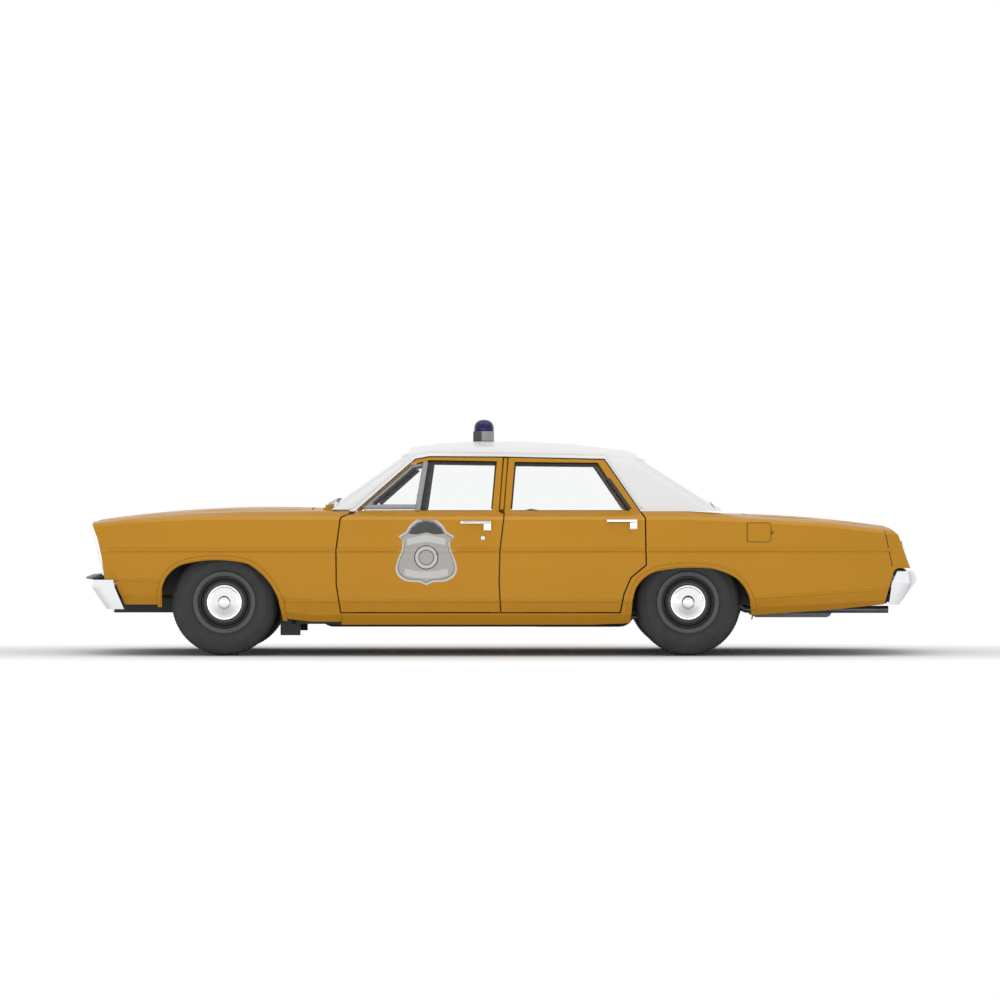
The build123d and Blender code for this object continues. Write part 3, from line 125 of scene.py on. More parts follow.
def bump(tree, value, strength, distance):
    """A normal bumped by a value."""
    inputs = {"Height": value, "Strength": strength, "Distance": distance}
    return add_node(tree, "Bump", inputs).outputs["Normal"]


def shade(color, factor):
    """A darker or lighter version of a colour."""
    return tuple(min(1.0, part * factor) for part in color)


def grained(name, color, metallic=0.0, rough=(0.4, 0.6), vary=0.12, patch=6.0, grain=300.0, depth=0.0004,
            strength=0.3, coat=0.0):
    """A material whose colour drifts over patches and whose roughness and bump follow a finer grain."""
    made, tree, shader, where = new_material(name)
    drift = noise(tree, where, patch, 4.0, 0.6)
    fine = noise(tree, where, grain, 2.0)
    stops = [(0.3, shade(color, 1 - vary)), (0.7, shade(color, 1 + vary))]
    fill(tree, shader, {
        "Base Color": ramp(tree, drift, stops), "Roughness": spread(tree, fine, *rough),
        "Metallic": metallic, "Coat Weight": coat, "Coat Roughness": 0.06,
    })
    if strength:
        fill(tree, shader, {"Normal": bump(tree, fine, strength, depth)})
    return made


def flake_paint(name, color, metallic, flake_vary, rough):
    """Car paint under a clear coat: fine flakes over a slow drift of tone."""
    made, tree, shader, where = new_material(name)
    drift = noise(tree, where, 1.7, 2.0)
    flakes = noise(tree, where, 170.0, 3.0, 0.75)
    tone = add_node(tree, "Math", {0: drift, 1: 0.25, 2: flakes}, "MULTIPLY_ADD").outputs["Value"]
    stops = [(0.35, shade(color, 1 - flake_vary)), (0.62, color), (0.92, shade(color, 1 + flake_vary))]
    fill(tree, shader, {
        "Base Color": ramp(tree, tone, stops), "Roughness": spread(tree, flakes, *rough),
        "Metallic": metallic, "Coat Weight": 0.14, "Coat Roughness": 0.05, "Specular IOR Level": 0.2,
        "Normal": bump(tree, noise(tree, where, 900.0, 1.0), 0.03, 0.0003),
    })
    return made


def clear_glass(name, color):
    """Clear glass with a faint tint."""
    made, tree, shader, where = new_material(name)
    fill(tree, shader, {
        "Base Color": (*color, 1), "Transmission Weight": 1.0, "IOR": 1.45,
        "Roughness": spread(tree, noise(tree, where, 9.0), 0.0, 0.015),
    })
    return made


def lens(name, color, ribs, transmission=0.35, coat=0.6, specular=0.5):
    """Moulded lens with fine ribs."""
    made, tree, shader, where = new_material(name)
    ridges = wave(tree, where, "Y", ribs)
    fill(tree, shader, {
        "Base Color": ramp(tree, ridges, [(0.2, shade(color, 0.75)), (0.8, color)]), "Roughness": 0.12,
        "Transmission Weight": transmission, "Coat Weight": coat, "Specular IOR Level": specular,
        "Normal": bump(tree, ridges, 0.4, 0.002),
    })
    return made


def woven(name, color, scale):
    """Woven seat cloth: two crossed bands of threads."""
    made, tree, shader, where = new_material(name)
    bands = [wave(tree, where, direction, scale, 0.6) for direction in ("X", "Y")]
    weave = add_node(tree, "Math", dict(enumerate(bands)), "MULTIPLY").outputs["Value"]
    stops = [(0.1, shade(color, 0.7)), (0.9, shade(color, 1.25))]
    fill(tree, shader, {
        "Base Color": ramp(tree, weave, stops), "Roughness": 0.85, "Sheen Weight": 0.2,
        "Normal": bump(tree, weave, 0.5, 0.0006),
    })
    return made


gold = (0.500, 0.232, 0.010)
PAINT = flake_paint("gold_paint", gold, 0.25, 0.10, (0.34, 0.46))
WHITE = flake_paint("white_paint", (0.86, 0.86, 0.855), 0.0, 0.02, (0.28, 0.36))
CHROME = grained("chrome", (0.86, 0.87, 0.89), 1.0, (0.05, 0.10), 0.03, 4.0, 60.0, strength=0.0)
STAINLESS = grained("stainless_trim", (0.62, 0.63, 0.64), 1.0, (0.18, 0.28), 0.05, 5.0, 240.0, 0.0001, 0.1)
UNDERBODY = grained("underbody", (0.045, 0.045, 0.046), 0.1, (0.55, 0.75), 0.25, 5.0, 120.0, 0.0008, 0.4)
STEEL = grained("bare_steel", (0.20, 0.20, 0.21), 0.9, (0.35, 0.55), 0.2, 7.0, 160.0, 0.0004, 0.3)
IRON = grained("cast_iron", (0.055, 0.055, 0.058), 0.5, (0.5, 0.7), 0.25, 9.0, 200.0, 0.0008, 0.5)
ENGINE_BLUE = grained("engine_paint", (0.03, 0.09, 0.20), 0.0, (0.35, 0.5), 0.2, 8.0, 150.0, 0.0006, 0.3)
RUBBER = grained("tyre_rubber", (0.036, 0.036, 0.037), 0.0, (0.62, 0.80), 0.18, 14.0, 420.0, 0.0005, 0.35)
SEAL = grained("black_seal", (0.018, 0.018, 0.019), 0.0, (0.5, 0.65), 0.15, 12.0, 300.0, 0.0003, 0.2)
WHEEL = grained("wheel_paint", (0.066, 0.066, 0.069), 0.15, (0.40, 0.52), 0.10, 8.0, 220.0, 0.0003, 0.15,
                0.15)
GLASS = clear_glass("window_glass", (0.99, 1.0, 0.995))
LENS_RED = lens("red_lens", (0.42, 0.012, 0.010), 34.0)
LENS_CLEAR = lens("clear_lens", (0.90, 0.92, 0.93), 22.0, 0.85)
BEACON_BLUE = lens("beacon_lens", (0.006, 0.012, 0.100), 12.0, 0.05, 0.12, 0.25)
DASH = grained("dash_grain", (0.022, 0.021, 0.020), 0.0, (0.5, 0.65), 0.15, 8.0, 380.0, 0.0006, 0.4)
SEAT = woven("seat_cloth", (0.060, 0.054, 0.046), 260.0)
VINYL = grained("vinyl", (0.045, 0.040, 0.034), 0.0, (0.42, 0.55), 0.15, 7.0, 330.0, 0.0006, 0.35)
DIAL = grained("dial_face", (0.55, 0.55, 0.52), 0.0, (0.4, 0.5), 0.03, 20.0, 200.0, strength=0.0)
SILVER_DECAL = flake_paint("shield_silver", (0.43, 0.41, 0.385), 0.15, 0.08, (0.35, 0.45))
LIGHT_DECAL = flake_paint("shield_light", (0.60, 0.59, 0.57), 0.1, 0.04, (0.35, 0.45))
SATIN = grained("satin_frame", (0.30, 0.30, 0.305), 0.35, (0.42, 0.52), 0.05, 6.0, 260.0, 0.0002, 0.1)
VALANCE = grained("valance_black", (0.050, 0.050, 0.053), 0.1, (0.38, 0.50), 0.12, 7.0, 240.0, 0.0003, 0.2)
# Darkened copy of the gold paint: painted shade for the finger recess behind the rear door.
RECESS_SHADE = grained("recess_gold_painted_shade", (0.170, 0.072, 0.006), 0.1, (0.45, 0.55), 0.08, 9.0, 300.0, 0.0002, 0.1)
DARK_DECAL = grained("shield_dark", (0.045, 0.045, 0.050), 0.0, (0.4, 0.5), 0.10, 30.0, 300.0, strength=0.0)

NODE_MATERIALS = {
    PAINT: ["side_frames", "front_fenders", "quarter_panels", "cowl_panel", "rear_deck", "tail_panel", "hood",
            "trunk_lid", "fuel_door", *(f"door_{corner}" for corner in CORNERS)],
    WHITE: ["roof_panel"],
    CHROME: ["grille", "headlamps", "front_bumper", "rear_bumper"],
    SATIN: ["beacon_base"],
    GLASS: ["windshield", "rear_window", *(f"glass_{corner}" for corner in CORNERS)],
    UNDERBODY: ["perimeter_frame", "body_floor"],
    STEEL: ["exhaust_system", "fuel_tank", "front_suspension", "rear_suspension", "tie_rod"],
    IRON: ["rear_axle", "knuckle_left", "knuckle_right"],
    ENGINE_BLUE: ["engine_block"],
    RUBBER: [f"tyre_{corner}" for corner in CORNERS],
    WHEEL: [f"wheel_{corner}" for corner in CORNERS],
    LENS_RED: ["tail_lamps"],
    BEACON_BLUE: ["beacon_dome"],
    DASH: ["dashboard", "steering_wheel"],
    SEAT: ["front_seat", "rear_seat"],
}
for look, names in NODE_MATERIALS.items():
    for name in names:
        mesh = nodes[name].data
        mesh.materials.clear()
        mesh.materials.append(look)


def islands(mesh):
    """The mesh's polygons grouped into its separate solids."""
    spots = [tuple(round(part, 6) for part in vertex.co) for vertex in mesh.vertices]
    parent = {spot: spot for spot in spots}

    def root(item):
        while parent[item] != item:
            parent[item] = parent[parent[item]]
            item = parent[item]
        return item

    for edge in mesh.edges:
        start, end = edge.vertices
        parent[root(spots[start])] = root(spots[end])
    groups = {}
    for polygon in mesh.polygons:
        groups.setdefault(root(spots[polygon.vertices[0]]), []).append(polygon.index)
    return list(groups.values())


def repaint_islands(node, look, wanted):
    """Gives a second material to the whole solids of a node that a test on their polygon centres picks."""
    mesh = nodes[node].data
    mesh.materials.append(look)
    for group in islands(mesh):
        if wanted([mesh.polygons[index].center for index in group]):
            for index in group:
                mesh.polygons[index].material_index = len(mesh.materials) - 1


def short(centres):
    """Whether a solid of a door is short enough to be its handle."""
    return max(spot.x for spot in centres) - min(spot.x for spot in centres) < 0.3


def small(centres):
    """Whether a solid of a wheel is small enough to be its hub cap."""
    return max(hypot(spot.x - centres[0].x, spot.z - centres[0].z) for spot in centres) < 0.25


# Small solids that share a node with a panel: handles and hub caps
for corner in CORNERS:
    repaint_islands(f"door_{corner}", STAINLESS, short)
    repaint_islands(f"wheel_{corner}", CHROME, small)


# Floor, world and lamps: the floor keeps the shadow and fades into the white round the car
floor_half = 60.0
floor_mesh = bpy.data.meshes.new("floor")
floor_corners = [(x * floor_half, y * floor_half, 0) for x, y in ((-1, -1), (1, -1), (1, 1), (-1, 1))]
floor_mesh.from_pydata(floor_corners, [], [(0, 1, 2, 3)])
floor = bpy.data.objects.new("floor", floor_mesh)
scene.collection.objects.link(floor)
floor_look, floor_tree, floor_shader, floor_where = new_material("floor_white")
floor_values = {"Base Color": (0.92, 0.92, 0.92, 1), "Roughness": 0.9, "Specular IOR Level": 0.0}
fill(floor_tree, floor_shader, floor_values)
oval = add_node(floor_tree, "VectorMath", {0: floor_where, 1: (0.42, 1.0, 1.0)}, "MULTIPLY").outputs["Vector"]
distance = add_node(floor_tree, "VectorMath", {0: oval}, "LENGTH").outputs["Value"]
fade = add_node(floor_tree, "MapRange", {"Value": distance, "From Min": 1.15, "From Max": 2.3})
glow = add_node(floor_tree, "Emission", {}).outputs["Emission"]
mixed_inputs = {"Fac": fade.outputs["Result"], 1: floor_shader.outputs["BSDF"], 2: glow}
mixed = add_node(floor_tree, "MixShader", mixed_inputs)
fill(floor_tree, floor_tree.nodes["Material Output"], {"Surface": mixed.outputs["Shader"]})
floor_mesh.materials.append(floor_look)

world = bpy.data.worlds.new("studio")
scene.world = world
world.use_nodes = True
world_tree = world.node_tree
rays = add_node(world_tree, "LightPath", {}).outputs
seen = add_node(world_tree, "Math", {0: rays["Is Camera Ray"], 1: rays["Is Transmission Ray"]}, "MAXIMUM")
mirrored = add_node(world_tree, "Math", {0: seen.outputs["Value"], 1: rays["Is Glossy Ray"]}, "MAXIMUM")
world_level = spread(world_tree, mirrored.outputs["Value"], 0.60, 1.0)
fill(world_tree, world_tree.nodes["Background"], {"Color": (1, 1, 1, 1), "Strength": world_level})


def area_lamp(name, place, aim, size, power):
    """A soft lamp at a place, pointed at a spot."""
    data = bpy.data.lights.new(name, "AREA")
    data.shape = "RECTANGLE"
    data.size, data.size_y = size
    data.energy = power
    lamp = bpy.data.objects.new(name, data)
    lamp.location = place
    lamp.rotation_euler = (Vector(aim) - Vector(place)).to_track_quat("-Z", "Y").to_euler()
    scene.collection.objects.link(lamp)


area_lamp("top_lamp", (0, 1.0, 6.5), (0, 0, 0.8), (9.0, 4.0), 130)
area_lamp("side_lamp", (1.0, 9.0, 0.9), (0, 0, 0.5), (10.0, 1.4), 80)


def place_piece(name, mesh, look, body, smooth=True):
    """Links a mesh made in the shared frame, gives it a finish and lets it ride on a body."""
    made = bpy.data.objects.new(name, mesh)
    scene.collection.objects.link(made)
    mesh.materials.append(look)
    for polygon in mesh.polygons:
        polygon.use_smooth = smooth
    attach(made, body)
    return made


def mesh_of(name, points, faces):
    """A mesh with outward faces from points and faces."""
    mesh = bpy.data.meshes.new(name)
    mesh.from_pydata([tuple(point) for point in points], [], faces)
    shaped = bmesh.new()
    shaped.from_mesh(mesh)
    bmesh.ops.recalc_face_normals(shaped, faces=shaped.faces)
    shaped.to_mesh(mesh)
    shaped.free()
    return mesh


def grid_faces(rows, width, around=True, loop=False, first=0):
    """Faces between rows of points; a row may close on itself and the last row may join the first."""
    faces = []
    for row in range(rows if loop else rows - 1):
        here = first + row * width
        there = first + (row + 1) % rows * width
        for index in range(width if around else width - 1):
            other = (index + 1) % width
            faces.append((here + index, here + other, there + other, there + index))
    return faces


def loft(name, rows, look, body, smooth=True):
    """A closed solid through rings of points."""
    width = len(rows[0])
    last = (len(rows) - 1) * width
    faces = grid_faces(len(rows), width)
    faces += [tuple(range(width)), tuple(range(last, last + width))]
    points = [spot for row in rows for spot in row]
    return place_piece(name, mesh_of(name, points, faces), look, body, smooth)


TREES = {}


def touch(node, start, direction):
    """Where a ray first meets a CAD node, with the normal turned to face it, or None."""
    if node not in TREES:
        mesh = nodes[node].data
        TREES[node] = BVHTree.FromPolygons(
            [vertex.co for vertex in mesh.vertices], [polygon.vertices for polygon in mesh.polygons]
        )
    direction = Vector(direction)
    spot, normal, _, _ = TREES[node].ray_cast(Vector(start), direction)
    if spot is None:
        return None
    return spot, (normal if normal.dot(direction) < 0 else -normal)


def touch_run(node, starts, direction):
    """Where rays from a row of starts meet a CAD node."""
    hits = [touch(node, start, direction) for start in starts]
    return [hit for hit in hits if hit]


def side_touch(node, x, z, sign):
    """Where a side view from the left or right meets a CAD node, or None."""
    return touch(node, (x, sign * 1.6, z), (0, -sign, 0))


def smooth_path(points, step=0.012):
    """A curve through points, sampled about every step."""
    path = []
    for index in range(len(points) - 1):
        before = Vector(points[max(index - 1, 0)])
        here = Vector(points[index])
        there = Vector(points[index + 1])
        after = Vector(points[min(index + 2, len(points) - 1)])
        count = max(2, int((there - here).length / step))
        for part in range(count):
            t = part / count
            path.append(
                0.5 * (2 * here + (there - before) * t + (2 * before - 5 * here + 4 * there - after) * t * t
                       + (3 * here - before - 3 * there + after) * t**3)
            )
    path.append(Vector(points[-1]))
    return path


def straight_path(points, step=0.012):
    """Straight runs between points, sampled about every step."""
    path = []
    for here, there in zip(points, points[1:]):
        here, there = Vector(here), Vector(there)
        count = max(1, int((there - here).length / step))
        path.extend(here.lerp(there, part / count) for part in range(count))
    path.append(Vector(points[-1]))
    return path


inboard = 0.5


def side_runs(node, path, sign):
    """The stretches of a side-view path of (x, z) that lie on a node's outer side."""
    runs, run = [], []
    for x, z in path:
        hit = side_touch(node, x, z, sign)
        if hit and sign * hit[0].y > inboard:
            run.append(hit)
        elif run:
            runs.append(run)
            run = []
    runs.append(run)
    return [run for run in runs if len(run) > 2]


def moulding(name, runs, width, height, look, body, sunk=0.0015, taper=False):
    """A half-round strip along runs of points and normals, with its ends drawn down if asked."""
    steps = 6
    ring = steps + 1
    points, faces = [], []
    for run in runs:
        first = len(points)
        count = len(run)
        for index, (spot, normal) in enumerate(run):
            along = run[min(index + 1, count - 1)][0] - run[max(index - 1, 0)][0]
            across = normal.cross(along).normalized()
            rise = height
            if taper:
                rise = height * min(1.0, 0.25 + min(index, count - 1 - index) * 0.25)
            for step in range(steps + 1):
                angle = pi * step / steps
                points.append(spot + across * (cos(angle) * width / 2) + normal * (sin(angle) * rise - sunk))
        faces += grid_faces(count, ring, around=False, first=first)
        faces.append(tuple(range(first, first + ring)))
        last = first + (count - 1) * ring
        faces.append(tuple(range(last, last + ring)))
    if points:
        return place_piece(name, mesh_of(name, points, faces), look, body)
    return None


def turned(name, profile, centre, axis, look, body, segments=64, closed=False):
    """A shape turned about an axis from (radius, height) points."""
    spin = Vector(axis).to_track_quat("Z", "X").to_matrix()
    points = []
    for radius, height in profile:
        for part in range(segments):
            angle = tau * part / segments
            points.append(Vector(centre) + spin @ Vector((radius * cos(angle), radius * sin(angle), height)))
    rows = len(profile)
    faces = grid_faces(rows, segments, loop=closed)
    for row in () if closed else (0, rows - 1):
        if profile[row][0] > 1e-6:
            faces.append(tuple(range(row * segments, (row + 1) * segments)))
    return place_piece(name, mesh_of(name, points, faces), look, body)


def rounded_block(name, low, high, bevel, look, body, turn=None):
    """A block with rounded edges between two corners, turned about its middle if asked."""
    low, high = (Vector(map(pick, low, high)) for pick in (min, max))
    shaped = bmesh.new()
    bmesh.ops.create_cube(shaped, size=1.0)
    bmesh.ops.scale(shaped, vec=high - low, verts=shaped.verts)
    bmesh.ops.bevel(shaped, geom=shaped.edges[:], offset=bevel, segments=3, profile=0.6, affect="EDGES")
    if turn:
        bmesh.ops.rotate(shaped, matrix=turn, verts=shaped.verts)
    bmesh.ops.translate(shaped, vec=(low + high) / 2, verts=shaped.verts)
    mesh = bpy.data.meshes.new(name)
    shaped.to_mesh(mesh)
    shaped.free()
    return place_piece(name, mesh, look, body)


def tube(name, path, radius, look, body):
    """A round rod along a path of points."""
    sides = 8
    rings = []
    path = [Vector(point) for point in path]
    for index, spot in enumerate(path):
        along = (path[min(index + 1, len(path) - 1)] - path[max(index - 1, 0)]).normalized()
        aside = along.orthogonal().normalized()
        if index:
            aside = (previous - along * previous.dot(along)).normalized()
        previous = aside
        up = along.cross(aside)
        angles = [tau * side / sides for side in range(sides)]
        rings.append([spot + aside * (radius * cos(angle)) + up * (radius * sin(angle)) for angle in angles])
    return loft(name, rings, look, body)


# Beads pressed along the sides, and lips round the wheel openings
def panels(hand):
    """The outer panels of one side with the bodies that carry them."""
    return [("front_fenders", "body"), (f"door_front_{hand}", f"door_front_{hand}"),
            (f"door_rear_{hand}", f"door_rear_{hand}"), ("quarter_panels", "body")]


shield_x, shield_z = 0.479, 0.684
shield_reach = 0.190
BEADS = {
    "waist_bead": ([(2.545, 0.691), (-2.610, 0.691)], 0.022, 0.0085),
    "sill_bead": ([(1.405, 0.358), (-0.866, 0.358)], 0.018, 0.0075),
    "tail_bead": ([(-1.648, 0.378), (-2.510, 0.436)], 0.018, 0.0075),
    "nose_bead": ([(2.530, 0.560), (2.497, 0.496), (2.212, 0.490)], 0.018, 0.0075),
}
FRONT_LIP = [(1.425, 0.300), (1.440, 0.365), (1.520, 0.505), (1.640, 0.598), (1.840, 0.626), (2.039, 0.603),
             (2.150, 0.535), (2.200, 0.430), (2.205, 0.335)]
REAR_LIP = [(-1.640, 0.300), (-1.622, 0.378), (-1.555, 0.490), (-1.400, 0.562), (-1.212, 0.577),
            (-1.023, 0.554), (-0.905, 0.475), (-0.860, 0.345), (-0.852, 0.300)]


def lip_path(points, outset):
    """A smooth path a little outside a wheel opening's edge."""
    path = smooth_path(points)
    made = []
    for index, spot in enumerate(path):
        along = path[min(index + 1, len(path) - 1)] - path[max(index - 1, 0)]
        out = Vector((-along.y, along.x)).normalized()
        middle = Vector(((points[0][0] + points[-1][0]) / 2, 0.35))
        if out.dot(spot - middle) < 0:
            out = -out
        made.append(spot + out * outset)
    return made


for hand, sign in SIDES:
    for bead, (points, width, height) in BEADS.items():
        for node, body in panels(hand):
            path = straight_path(points)
            if bead == "waist_bead" and node.startswith("door_front"):
                ahead = [spot for spot in path if spot.x > shield_x + shield_reach]
                behind = [spot for spot in path if spot.x < shield_x - shield_reach]
                runs = side_runs(node, ahead, sign) + side_runs(node, behind, sign)
            else:
                runs = side_runs(node, path, sign)
            moulding(f"{bead}_{node}_{hand}", runs, width, height, PAINT, body, taper=True)
    for end, points in (("front", FRONT_LIP), ("rear", REAR_LIP)):
        for node, body in panels(hand):
            runs = side_runs(node, lip_path(points, 0.015), sign)
            moulding(f"arch_lip_{end}_{node}_{hand}", runs, 0.026, 0.009, PAINT, body)


# Thin dark seam where the tail cap meets the side
for hand, sign in SIDES:
    runs = side_runs("quarter_panels", straight_path([(-2.500, 0.838), (-2.552, 0.583)]), sign)
    moulding(f"tail_seam_{hand}", runs, 0.0070, 0.0020, SEAL, "body", 0.0010)


# Window trim: silver vent frames, dark seals, and bright surrounds on the two screens
VENTS = {
    "frame": ([(0.871, 0.975), (0.575, 1.235), (0.508, 1.248)], 0.024, 0.010, SATIN),
    "post": ([(0.538, 0.945), (0.487, 1.262)], 0.036, 0.008, SATIN),
    "sill": ([(0.890, 0.971), (0.545, 0.971)], 0.034, 0.010, SATIN),
    "seal": ([(0.820, 0.988), (0.556, 1.220)], 0.026, 0.009, SEAL),
}
GLASS_SEALS = {
    ("ahead", "front"): ([(0.505, 0.956), (0.458, 1.266)], 0.028),
    ("above", "front"): ([(0.465, 1.264), (0.026, 1.258)], 0.018),
    ("behind", "front"): ([(0.026, 1.260), (0.052, 0.956)], 0.012),
    ("ahead", "rear"): ([(-0.074, 0.956), (-0.100, 1.256)], 0.012),
    ("above", "rear"): ([(-0.100, 1.254), (-0.640, 1.248)], 0.018),
    ("behind", "rear"): ([(-0.641, 1.252), (-0.848, 0.956)], 0.026),
}


def pane_trim(name, corner, sign, points, width, height, look):
    """A strip along a side-view path, laid on a door's glass or, where that is missing, on the door."""
    run = []
    for x, z in straight_path(points):
        hits = [side_touch(f"{kind}_{corner}", x, z, sign) for kind in ("glass", "door")]
        hits = [hit for hit in hits if hit and sign * hit[0].y > inboard]
        if hits:
            run.append(max(hits, key=lambda hit: sign * hit[0].y))
    moulding(name, [run], width, height, look, f"door_{corner}")


for hand, sign in SIDES:
    for part, (points, width, height, look) in VENTS.items():
        pane_trim(f"vent_{part}_{hand}", f"front_{hand}", sign, points, width, height, look)
    for (side, end), (points, width) in GLASS_SEALS.items():
        pane_trim(f"glass_seal_{side}_{end}_{hand}", f"{end}_{hand}", sign, points, width, 0.005, SEAL)


def screen_edge(node, direction):
    """Side, top and bottom runs a little inside a screen's own edge."""
    low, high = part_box(node)
    ray = (direction, 0, 0)
    margin = 0.012
    left = []
    z = low.z + margin
    while z < high.z - margin:
        y = 0.95
        while y > 0.3 and not touch(node, (-3.0 * direction, y, z), ray):
            y -= 0.004
        left.append((y - 0.016, z))
        z += 0.02
    right = [(-y, z) for y, z in reversed(left)]
    runs = []
    for side in (left, [left[-1], right[0]], right, [right[-1], left[0]]):
        starts = [(-3.0 * direction, y, z) for y, z in straight_path(side, 0.02)]
        runs.append(touch_run(node, starts, ray))
    return runs


moulding("windshield_surround", screen_edge("windshield", -1), 0.034, 0.010, STAINLESS, "body")
moulding("rear_window_surround", screen_edge("rear_window", 1), 0.034, 0.010, STAINLESS, "body")

# Gutters along the roof, above the doors
GUTTER = [(0.985, 0.948), (0.562, 1.312), (0.465, 1.331), (-0.023, 1.328), (-0.690, 1.312), (-0.925, 0.962)]
for hand, sign in SIDES:
    runs = side_runs("roof_panel", straight_path(GUTTER), sign)
    moulding(f"gutter_{hand}", runs, 0.016, 0.012, WHITE, "body")

# Wipers parked along the foot of the windshield
WIPER_PIVOT = [(0.014, -0.004), (0.014, 0.010), (0.010, 0.016), (0, 0.018)]
for hand, y in (("left", 0.46), ("right", -0.20)):
    foot = touch("cowl_panel", (1.135, y, 1.6), (0, 0, -1))[0]
    turned(f"wiper_pivot_{hand}", WIPER_PIVOT, foot, (0.35, 0, 1), STAINLESS, "body", 20)
    starts = [(3.0, y - 0.02 - 0.42 * step / 14, 1.000 + 0.02 * step / 14) for step in range(15)]
    blade = [(spot + normal * 0.012, normal) for spot, normal in touch_run("windshield", starts, (-1, 0, 0))]
    moulding(f"wiper_blade_{hand}", [blade], 0.012, 0.010, SEAL, "body", 0.006, taper=True)
    arm = [foot + Vector((0.004, 0, 0.014)), foot + Vector((-0.022, -0.05, 0.026)),
           blade[len(blade) // 2][0] + Vector((0.008, 0, 0.006))]
    tube(f"wiper_arm_{hand}", smooth_path(arm, 0.02), 0.0042, STAINLESS, "body")

# Shields on the front doors: blank badges in three tones, with plain bands and a plain disc
SHIELD = [(0.0, 0.2086), (0.062, 0.203), (0.1106, 0.163), (0.133, 0.1255), (0.181, 0.0948), (0.156, 0.070),
          (0.160, 0.009), (0.185, -0.053), (0.200, -0.1155), (0.181, -0.165), (0.127, -0.196),
          (0.044, -0.203), (0.0, -0.223)]
CREST = [(0.0, 0.188), (0.052, 0.182), (0.094, 0.150), (0.116, 0.112), (0.060, 0.108), (0.0, 0.122)]
HIGH_BAND = [(0.0, 0.108), (0.060, 0.095), (0.126, 0.080), (0.124, 0.038), (0.062, 0.050), (0.0, 0.060)]
LOW_BAND = [(0.0, -0.132), (0.070, -0.128), (0.138, -0.112), (0.144, -0.158), (0.072, -0.174), (0.0, -0.178)]


def mirrored_outline(half):
    """A closed outline from its right half, top to bottom."""
    return [Vector(spot) for spot in half] + [Vector((-spot[0], spot[1])) for spot in reversed(half[1:-1])]


def disc_outline(radius, height, count=48):
    """A round outline about a height."""
    return [Vector((radius * sin(tau * part / count), height + radius * cos(tau * part / count)))
            for part in range(count)]


def decal(name, door, sign, outline, size, lift, look):
    """A thin closed plate with an outline, laid on a door and wrapped over its surface."""
    middle = sum(outline, Vector((0, 0))) / len(outline)
    thick = 0.0012
    rings = 9
    rows = []
    for ring in range(rings + 2):
        row = []
        for spot in outline:
            part = middle + (spot - middle) * (size * max(0.02, min(ring, rings) / rings))
            x, z = shield_x + part.x, shield_z + part.y
            level = lift - (thick if ring > rings else 0.0)
            row.append(Vector((x, side_touch(door, x, z, sign)[0].y + sign * level, z)))
        rows.append(row)
    return loft(name, rows, look, door, smooth=False)


badge = mirrored_outline(smooth_path(SHIELD))
disc_z = -0.041
DECALS = [
    ("edge", badge, 1.0, 0.0012, LIGHT_DECAL), ("line", badge, 0.925, 0.0018, DARK_DECAL),
    ("field", badge, 0.905, 0.0024, SILVER_DECAL), ("crest", mirrored_outline(CREST), 1.0, 0.0030, VALANCE),
    ("band_high", mirrored_outline(HIGH_BAND), 1.0, 0.0036, LIGHT_DECAL),
    ("band_low", mirrored_outline(LOW_BAND), 1.0, 0.0030, LIGHT_DECAL),
    ("ring", disc_outline(0.079, disc_z), 1.0, 0.0030, DARK_DECAL),
    ("disc", disc_outline(0.072, disc_z), 1.0, 0.0036, LIGHT_DECAL),
    ("core_line", disc_outline(0.051, disc_z), 1.0, 0.0042, DARK_DECAL),
    ("core", disc_outline(0.046, disc_z), 1.0, 0.0048, SILVER_DECAL),
]
LOCK_PROFILE = [(0.016, -0.002), (0.016, 0.004), (0.012, 0.007), (0.005, 0.006), (0, 0.004)]
for hand, sign in SIDES:
    door = f"door_front_{hand}"
    for part, outline, size, lift, look in DECALS:
        decal(f"shield_{part}_{hand}", door, sign, outline, size, lift, look)
    lock = side_touch(door, 0.111, 0.769, sign)[0]
    turned(f"door_lock_{hand}", LOCK_PROFILE, lock, (0, sign, 0), STAINLESS, door, 24)


# Handles: a dark slot along each grip and ribs on each push button
HANDLES = {"front": (0.243, 0.062, 0.098, 0.056), "rear": (-0.702, -0.886, -0.850, -0.890)}
grip_z = 0.8725
for end, (grip_from, grip_to, button_from, button_to) in HANDLES.items():
    for hand, sign in SIDES:
        door = f"door_{end}_{hand}"
        slot_run = side_runs(door, straight_path([(grip_from, grip_z), (grip_to, grip_z)]), sign)
        moulding(f"handle_slot_{end}_{hand}", slot_run, 0.0045, 0.0008, DARK_DECAL, door, 0.0002)
        ribs = []
        for z in (0.826, 0.835, 0.844):
            ribs += side_runs(door, straight_path([(button_from, z), (button_to, z)], 0.008), sign)
        moulding(f"button_ribs_{end}_{hand}", ribs, 0.004, 0.0018, STAINLESS, door, 0.0004)


# Fuel lid with rounded corners, fillers in the rear corners of its opening, a seal, a filler cap and, at the
# finger recess, a flat plate in darkened gold that is painted shade. The front edge stays close to the hinge,
# so it has small corners and no seal
lid_low, lid_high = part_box("fuel_door")
lid_middle = Vector((lid_high.x - 0.0754, 0.8055))
lid_half = Vector((0.0746, 0.0600))
lid_corner = {1: 0.010, -1: 0.026}
lid_gap = 0.0035
seal_end_x = lid_middle.x + lid_half.x - 0.014
pocket_depth = 0.018
foot_x, foot_z = -1.690, 0.800
lid_foot = side_touch("fuel_door", foot_x, foot_z, 1)[0]
lid_lean_x = (side_touch("fuel_door", -1.640, foot_z, 1)[0].y - lid_foot.y) / 0.050
lid_lean_z = (side_touch("fuel_door", foot_x, 0.840, 1)[0].y - lid_foot.y) / 0.040


def lid_spot(spot, level):
    """A point in the side's own plane about the fuel lid, lifted off it."""
    side = lid_foot.y + (spot.x - foot_x) * lid_lean_x + (spot.y - foot_z) * lid_lean_z
    return Vector((spot.x, side + level, spot.y))


